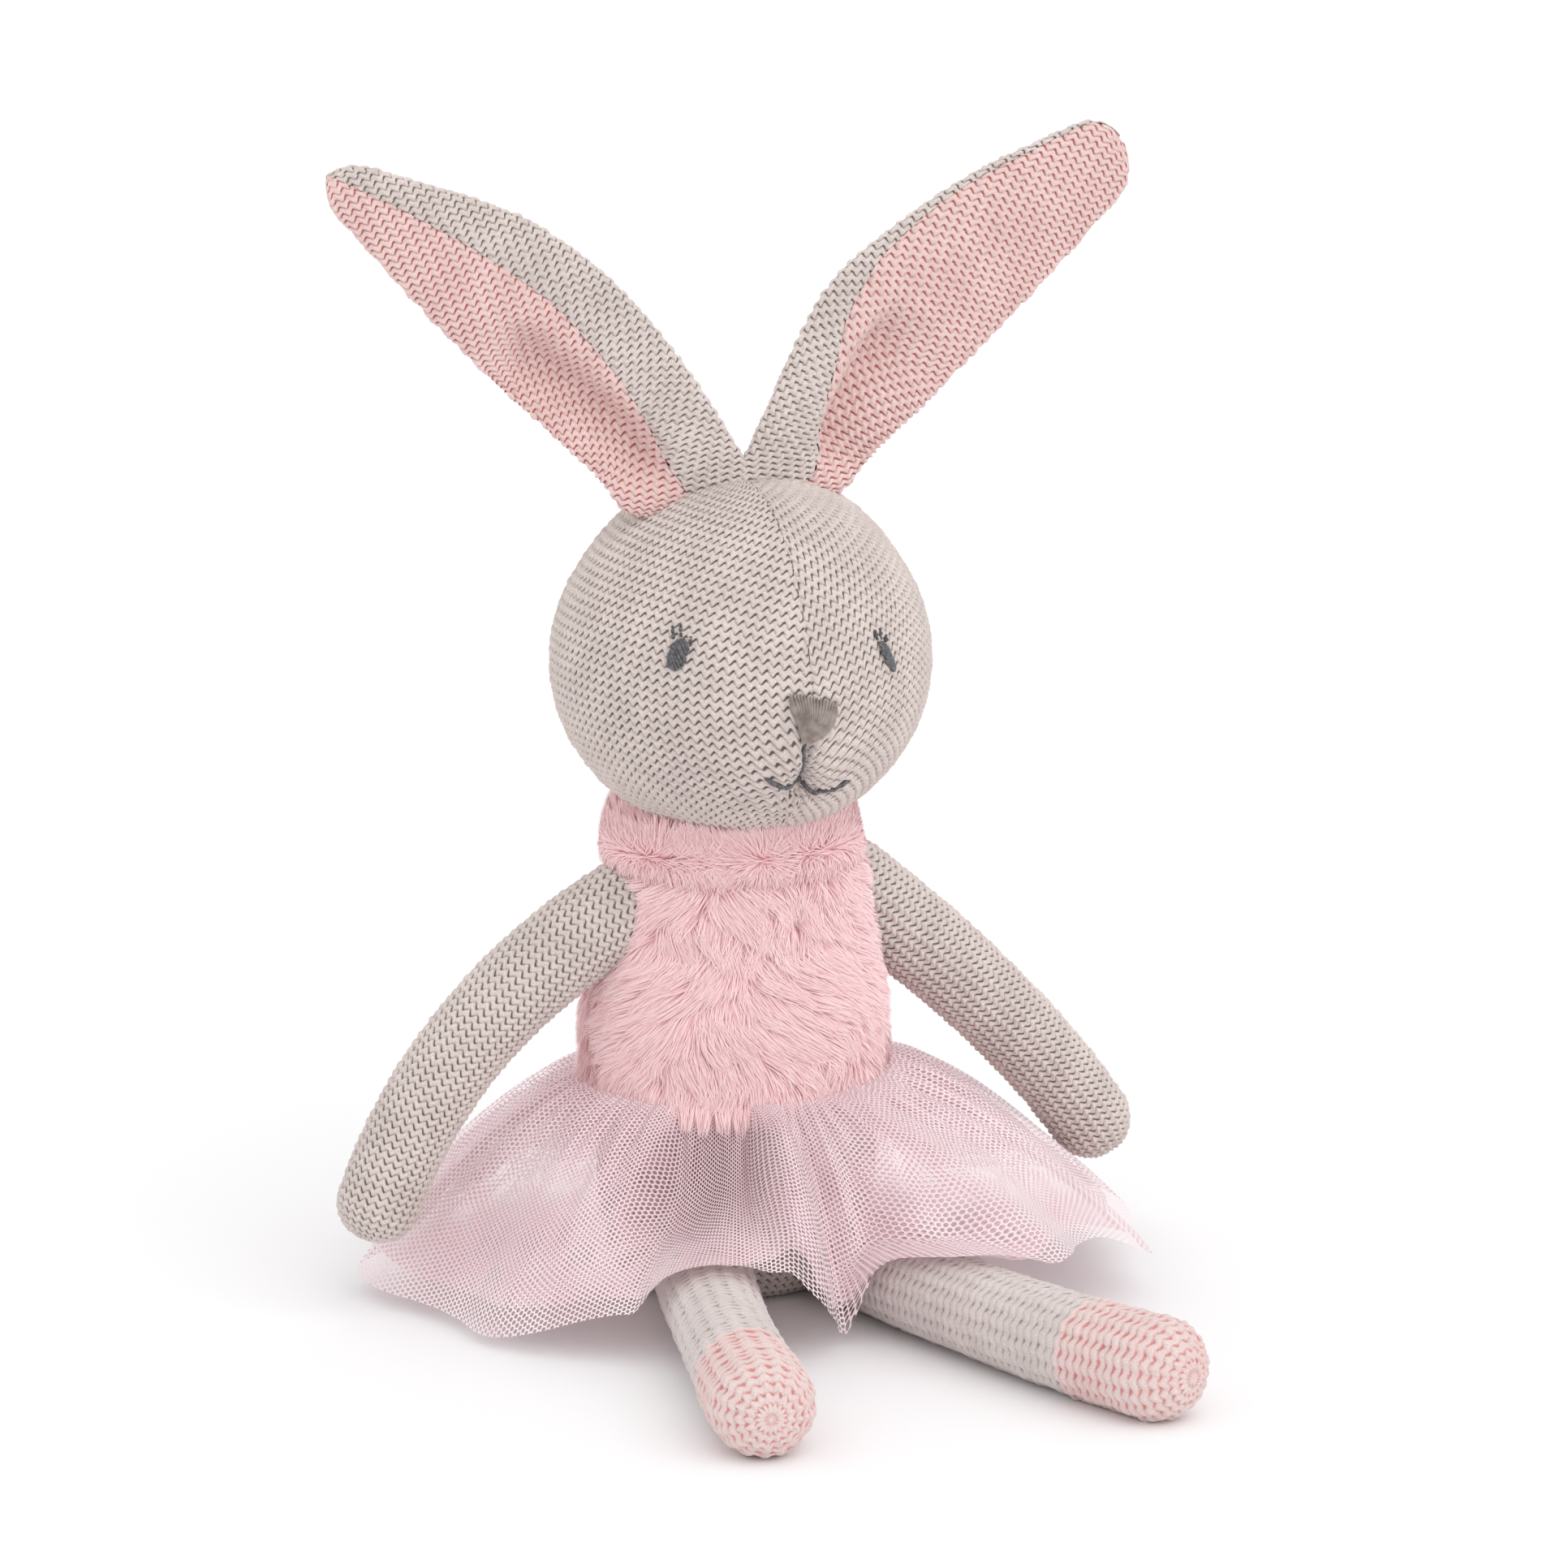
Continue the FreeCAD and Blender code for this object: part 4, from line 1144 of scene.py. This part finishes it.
def collar_piece():
    """The band under the head, of shorter pile, rolled in at its top."""
    turns = full_turn(COLLAR_COLUMNS)
    sections = [collar_point(turns, height, inset)[0] for height, inset in COLLAR_SECTION]
    rim = sections[-1]
    for radius_share, height in COLLAR_ROLL:
        section = rim * radius_share
        section[:, 2] = height
        sections.append(section)
    backing = np.stack(sections)
    angle = RANDOM.random(COLLAR_STRANDS) * TURN
    foot = COLLAR_LOW + 0.3
    height = foot + RANDOM.random(COLLAR_STRANDS) ** 0.7 * (COLLAR_HIGH - COLLAR_LOW - 0.3)
    roots, normals = collar_point(angle, height, 1.0)
    rolled = np.arange(COLLAR_STRANDS) >= COLLAR_STRANDS * (1 - COLLAR_ROLL_PILE)
    inward = RANDOM.random(COLLAR_STRANDS)
    roll = np.array([(1.0, COLLAR_HIGH), *COLLAR_ROLL])
    steps = np.linspace(0, 1, len(roll))
    rim_roots, _ = collar_point(angle, COLLAR_HIGH, COLLAR_SECTION[-1][1])
    over = rim_roots * np.interp(inward, steps, roll[:, 0])[:, None]
    over[:, 2] = np.interp(inward, steps, roll[:, 1]) - 0.3
    roots = np.where(rolled[:, None], over, roots)
    normals = np.where(rolled[:, None], unit(normals * 0.4 + UP), normals)
    height = np.where(rolled, COLLAR_HIGH, height)
    roots, normals, angle, height = clear_of_arms(roots, normals, angle, height)
    count = len(angle)
    sideways = unit(np.cross(UP, normals))
    sway = (lattice_noise(angle * 30 / 9, height / 7, 4.0) - 0.5) * 1.8 + jitter(count, 0.7)
    rim_share = smooth_step(112.5, 117.5, height)
    flows = unit(sideways * sway[:, None] + UP * (-0.9 + 2.0 * rim_share)[:, None])
    sizes = (3.8 + 2.2 * rim_share) * varied(count, 0.3)
    lifts = (2.6 - 2.2 * rim_share) * varied(count, 0.3)
    widths = COLLAR_PILE_WIDTH * varied(count, 0.3)
    tips = clump_pull(angle, height) * 0.5
    mesh = (backing, grid_faces(*backing.shape[:2], closed=True))
    return strand_mesh(
        "collar_plush", roots, normals, flows, sizes, lifts, widths, tips, COLLAR_FUR, mesh
    )


finish_piece(collar_piece(), "torso", "plush_pink", "collar_band", fill=0.7)
finish_piece(neck_piece(), "neck", "fibre_fill", "neck_stuffing", fill=0.9)

# ---------------------------------------------------------------- waistband and tutu

SHEET_FLAT = {"outer": (0.58, 0.074), "inner": (0.58, 0.066)}  # in metres
# Angle from the front towards the left in degrees, then the hem's reach and height there.
HEM_TABLE = (
    (-180, 88, 8), (-150, 93, 5), (-112, 90, 6), (-88, 92, 4), (-68, 80, 2.5),
    (-45, 83, 14), (-24, 79, 25), (-16, 74, 23), (-10, 78, 17), (-4, 72, 10),
    (2, 62, 3), (10, 72, 3), (22, 92, 10), (32, 106, 26), (46, 101, 23),
    (63, 100, 9), (78, 107, 10), (100, 98, 9), (130, 90, 7), (180, 88, 8),
)
HEM_RAGGED = 0.9
SHADE_ANGLE = 32  # the painted shade in the hollow under the pile is centred this far to the right of the front
HOLLOW_DEPTH = (14, 9)  # how far the cloth sinks in there, and down
FLAP_RISE = (8, 5)  # how far the flap beside it hangs out, and up
TUTU_ROWS = 110
TUTU_COLUMNS = 900
TUTU_INSET = -1.9
TUTU_DRIFT = 0.10  # how far the gathers drift sideways on their way to the hem
RUFFLES = 11
RUFFLE_DEPTH = 5.0
LEG_CLEARANCE = 3.4
LEG_DRAPE = 7.0  # the cloth leaves the leg's top this far outside its side
ARM_CLEARANCE = 1.8
FLOOR_CLEARANCE = 1.6
LAYER_GAP = 1.9
HEM_SMOOTHING = 4  # columns to either side over which sharp corners are rounded off
INNER_SHARE = 0.9  # the inner layer's length as a share of the outer's


def hem_at(angle, column):
    """The hem's reach or height at each angle, level at every line of the table."""
    table = np.array(HEM_TABLE, float)
    degrees = (np.degrees(angle) + 180) % 360 - 180
    after = np.clip(np.searchsorted(table[:, 0], degrees), 1, len(table) - 1)
    low, high = table[after - 1], table[after]
    share = smooth_step(0, 1, (degrees - low[..., 0]) / (high[..., 0] - low[..., 0]))
    return low[..., column] * (1 - share) + high[..., column] * share


def ruffle_shape(angle, turned, share):
    """How far the ruffles stand out at each point, as a share of their depth."""
    beat = RUFFLES * turned + 1.2 * np.sin(2 * angle) + 0.5 * np.sin(5 * angle + 1) + 0.4
    ruffle = 0.8 * np.cos(beat) + 0.5 * (1 - np.abs(np.sin(beat / 2))) ** 2 - 0.3
    ruffle = ruffle * (0.7 + 0.6 * lattice_noise(beat / TURN, 0 * share, 8.0))
    return ruffle * (1 - 0.9 * bell(np.degrees(angle) + 12, 20))


def gather_puff(angle, turned, share):
    """The fine gathers below the waist, and the wider ones that they run into."""
    gathers = np.cos(64 * angle + 3 * np.sin(5 * angle))
    fine = np.cos(29 * turned + 2 * np.sin(7 * angle))
    return 0.8 * gathers * bell(share - 0.05, 0.16) + 0.9 * fine * bell(share - 0.3, 0.2)


def hollow_and_flap(degrees, share):
    """Where the cloth sinks in under the pile, and where it hangs over beside that."""
    edge = -15 + 9 * share * (1 - share)
    hollow = smooth_step(-54, -40, degrees) * (1 - smooth_step(-5, 0, degrees - edge))
    flap = smooth_step(-2, 1.5, degrees - edge) * (1 - smooth_step(3, 15, degrees - edge))
    flap = flap * smooth_step(0.0, 0.25, share) * (1 - 0.7 * smooth_step(0.8, 1.0, share))
    return hollow * bell(share - 0.42, 0.23), flap


def over_legs(x, y, height):
    """Heights of the cloth, raised where it lies over a leg."""
    for path in LEG_PATHS.values():
        places, _ = bezier(path, np.linspace(0, 1, 60))
        gap = np.hypot(x[..., None] - places[:, 0], y[..., None] - places[:, 1]).min(axis=-1)
        drape = np.sqrt(np.clip(1 - (gap / (LEG_RADII[2] + LEG_DRAPE)) ** 2, 0, 1))
        over = places[0, 2] + (LEG_RADII[2] + LEG_CLEARANCE) * drape
        height = np.maximum(height, np.where(drape > 0, over, 0))
    return height


def outside_arms(points):
    """The points, moved out of both arms."""
    for path in ARM_PATHS.values():
        places, _ = bezier(path, np.linspace(0.4, 1.08, 80))
        offsets = points[:, :, None] - places
        distance = np.linalg.norm(offsets, axis=-1)
        nearest = distance.argmin(axis=-1)
        away = np.take_along_axis(distance, nearest[..., None], axis=-1)
        offset = np.take_along_axis(offsets, nearest[..., None, None], axis=2)[:, :, 0]
        points = points + unit(offset) * np.clip(ARM_RADII[1] + ARM_CLEARANCE - away, 0, None)
    return points


def tutu_points():
    """The outer layer's points, with their angles and shares of the way to the hem."""
    share = np.linspace(0, 1, TUTU_ROWS)[:, None] * np.ones((1, TUTU_COLUMNS))
    angle = np.linspace(-math.pi, math.pi, TUTU_COLUMNS)[None, :] * np.ones((TUTU_ROWS, 1))
    degrees = np.degrees(angle)
    turned = angle + TUTU_DRIFT * share * np.sin(3 * angle)
    waist, _ = torso_point(angle, np.full_like(angle, WAIST), TUTU_INSET)
    waist_radius = np.hypot(waist[..., 0], waist[..., 1])
    reach = hem_at(turned, 1) + HEM_RAGGED * (lattice_noise(degrees / 1.3, share * 0, 6.0) - 0.5)
    radius = waist_radius + (reach - waist_radius) * (1 - (1 - share) ** 1.12)
    top = waist_line(angle) + 1.0
    height = top - (top - hem_at(turned, 2)) * share**1.3
    ruffle = ruffle_shape(angle, turned, share)
    radius = radius + RUFFLE_DEPTH * share**1.3 * ruffle
    height = height + 0.6 * RUFFLE_DEPTH * share**1.1 * ruffle * (1 - share**4)
    puff = gather_puff(angle, turned, share)
    hollow, flap = hollow_and_flap(degrees, share)
    radius = radius + puff - HOLLOW_DEPTH[0] * hollow + FLAP_RISE[0] * flap
    height = height + 0.8 * puff * smooth_step(0, 0.2, share)
    height = height - HOLLOW_DEPTH[1] * hollow + FLAP_RISE[1] * flap
    x = radius * np.sin(angle)
    y = -radius * np.cos(angle)
    points = outside_arms(np.stack([x, y, over_legs(x, y, height)], axis=-1))
    steps = range(-HEM_SMOOTHING, HEM_SMOOTHING + 1)
    smooth = sum(np.roll(points[:, 1:], step, axis=1) for step in steps) / len(steps)
    smooth = np.concatenate([smooth[:, -1:], smooth], axis=1)
    points = points + (smooth - points) * smooth_step(0.4, 0.8, share)[..., None]
    points[..., 2] = np.maximum(points[..., 2], FLOOR_CLEARANCE)
    return points, angle, share


def tutu_layers():
    """Each layer's points, angles and shares. The inner one hangs a little inside the outer."""
    points, angle, share = tutu_points()
    rows = round(TUTU_ROWS * INNER_SHARE)
    outward = grid_normals(points)
    outward = outward * np.sign(outward[..., 2:].mean())
    drift = LAYER_GAP * (0.75 + 0.5 * lattice_noise(np.degrees(angle) / 9, share * 3, 5.0))
    inner = (points - outward * (drift * smooth_step(0.0, 0.15, share))[..., None])[:rows]
    inner[..., 2] = np.maximum(inner[..., 2], FLOOR_CLEARANCE / 2)
    return {"outer": (points, angle, share), "inner": (inner, angle[:rows], share[:rows])}


for layer, (points, angle, share) in tutu_layers().items():
    width, length = SHEET_FLAT[layer]
    uv = np.stack([(angle / TURN + 0.5) * width / METRES, share * length / METRES], axis=-1)
    # Where the painted shade of the hollow at the front lies, from 0 to 1.
    shade = bell(np.degrees(angle) + SHADE_ANGLE, 10) ** 0.7 * bell(share - 0.33, 0.22)
    faces = grid_faces(*points.shape[:2])
    tutu = mesh_object(f"tutu_{layer}_tulle", points, faces, TULLE[layer], uv, {"shade": shade})
    finish_piece(tutu, "torso", "tulle_pink", f"tutu_{layer}_layer")

# Heights of the waistband, and how far it stands out from the torso.
BAND_SECTION = (
    (47.0, 0.2), (47.4, 1.0), (49.0, 1.4), (52.0, 1.5),
    (54.5, 1.4), (55.3, 0.9), (55.6, 0.0),
)
BAND_AROUND = 720
BAND_RIPPLE = 0.25


def waistband():
    """The band that the tulle is gathered on, rippled by the gathers."""
    turns = full_turn(BAND_AROUND)
    ripple = BAND_RIPPLE * np.cos(90 * turns + 2 * np.sin(7 * turns))
    sections = [
        torso_point(turns, np.full(BAND_AROUND, height), -out - ripple * (out > 0.5))[0]
        for height, out in BAND_SECTION
    ]
    faces = grid_faces(len(sections), BAND_AROUND, closed=True)
    return mesh_object("waistband_gathered", np.stack(sections), faces, BAND_CLOTH)


finish_piece(waistband(), "torso", "tulle_pink", "tutu_waistband")

# ---------------------------------------------------------------- stage, light and camera

CAMERA_AZIMUTH = math.radians(-22.5)
CAMERA_HEIGHT = math.radians(15.0)
CAMERA_DISTANCE = 3000.0
CAMERA_TARGET = vector(10.9, -4.5, 127.0)
SEEN_WIDTH = 386.4
SENSOR = 36.0
WORLD_LIGHT = 0.98
WHITE = (1.0, 1.0, 1.0, 1.0)
KEY_DIRECTION = vector(0.3, -0.8, 1.0)
KEY_SPREAD = math.radians(60)
KEY_STRENGTH = 0.7
FLOOR_HALF = 6000.0


def placed(name, data, towards):
    """An object whose back points towards a direction, so that it looks or shines from there."""
    made = bpy.data.objects.new(name, data)
    bpy.context.scene.collection.objects.link(made)
    made.rotation_euler = Vector(-towards).to_track_quat("-Z", "Y").to_euler()
    return made


def add_camera():
    back = vector(
        math.sin(CAMERA_AZIMUTH) * math.cos(CAMERA_HEIGHT),
        -math.cos(CAMERA_AZIMUTH) * math.cos(CAMERA_HEIGHT),
        math.sin(CAMERA_HEIGHT),
    )
    data = bpy.data.cameras.new("camera")
    data.sensor_width = SENSOR
    data.lens = SENSOR * CAMERA_DISTANCE / SEEN_WIDTH
    data.clip_start = 0.1
    data.clip_end = 20.0
    camera = placed("camera", data, back)
    camera.location = Vector((CAMERA_TARGET + back * CAMERA_DISTANCE) * METRES)
    bpy.context.scene.camera = camera


def add_light():
    """A far, wide sun, so that the whole floor is lit alike, and a white world."""
    data = bpy.data.lights.new("key", "SUN")
    data.angle = KEY_SPREAD
    data.energy = KEY_STRENGTH
    placed("key", data, KEY_DIRECTION)
    world = bpy.data.worlds.new("studio")
    world.use_nodes = True
    background = world.node_tree.nodes["Background"]
    background.inputs["Color"].default_value = WHITE
    background.inputs["Strength"].default_value = WORLD_LIGHT
    bpy.context.scene.world = world


def add_floor():
    half = FLOOR_HALF
    corners = [(-half, -half, 0), (half, -half, 0), (half, half, 0), (-half, half, 0)]
    floor = mesh_object("floor", corners, np.array([[0, 1, 2, 3]]), FLOOR_PAPER)


add_camera()
add_floor()
add_light()
bpy.context.scene.view_settings.view_transform = "Standard"
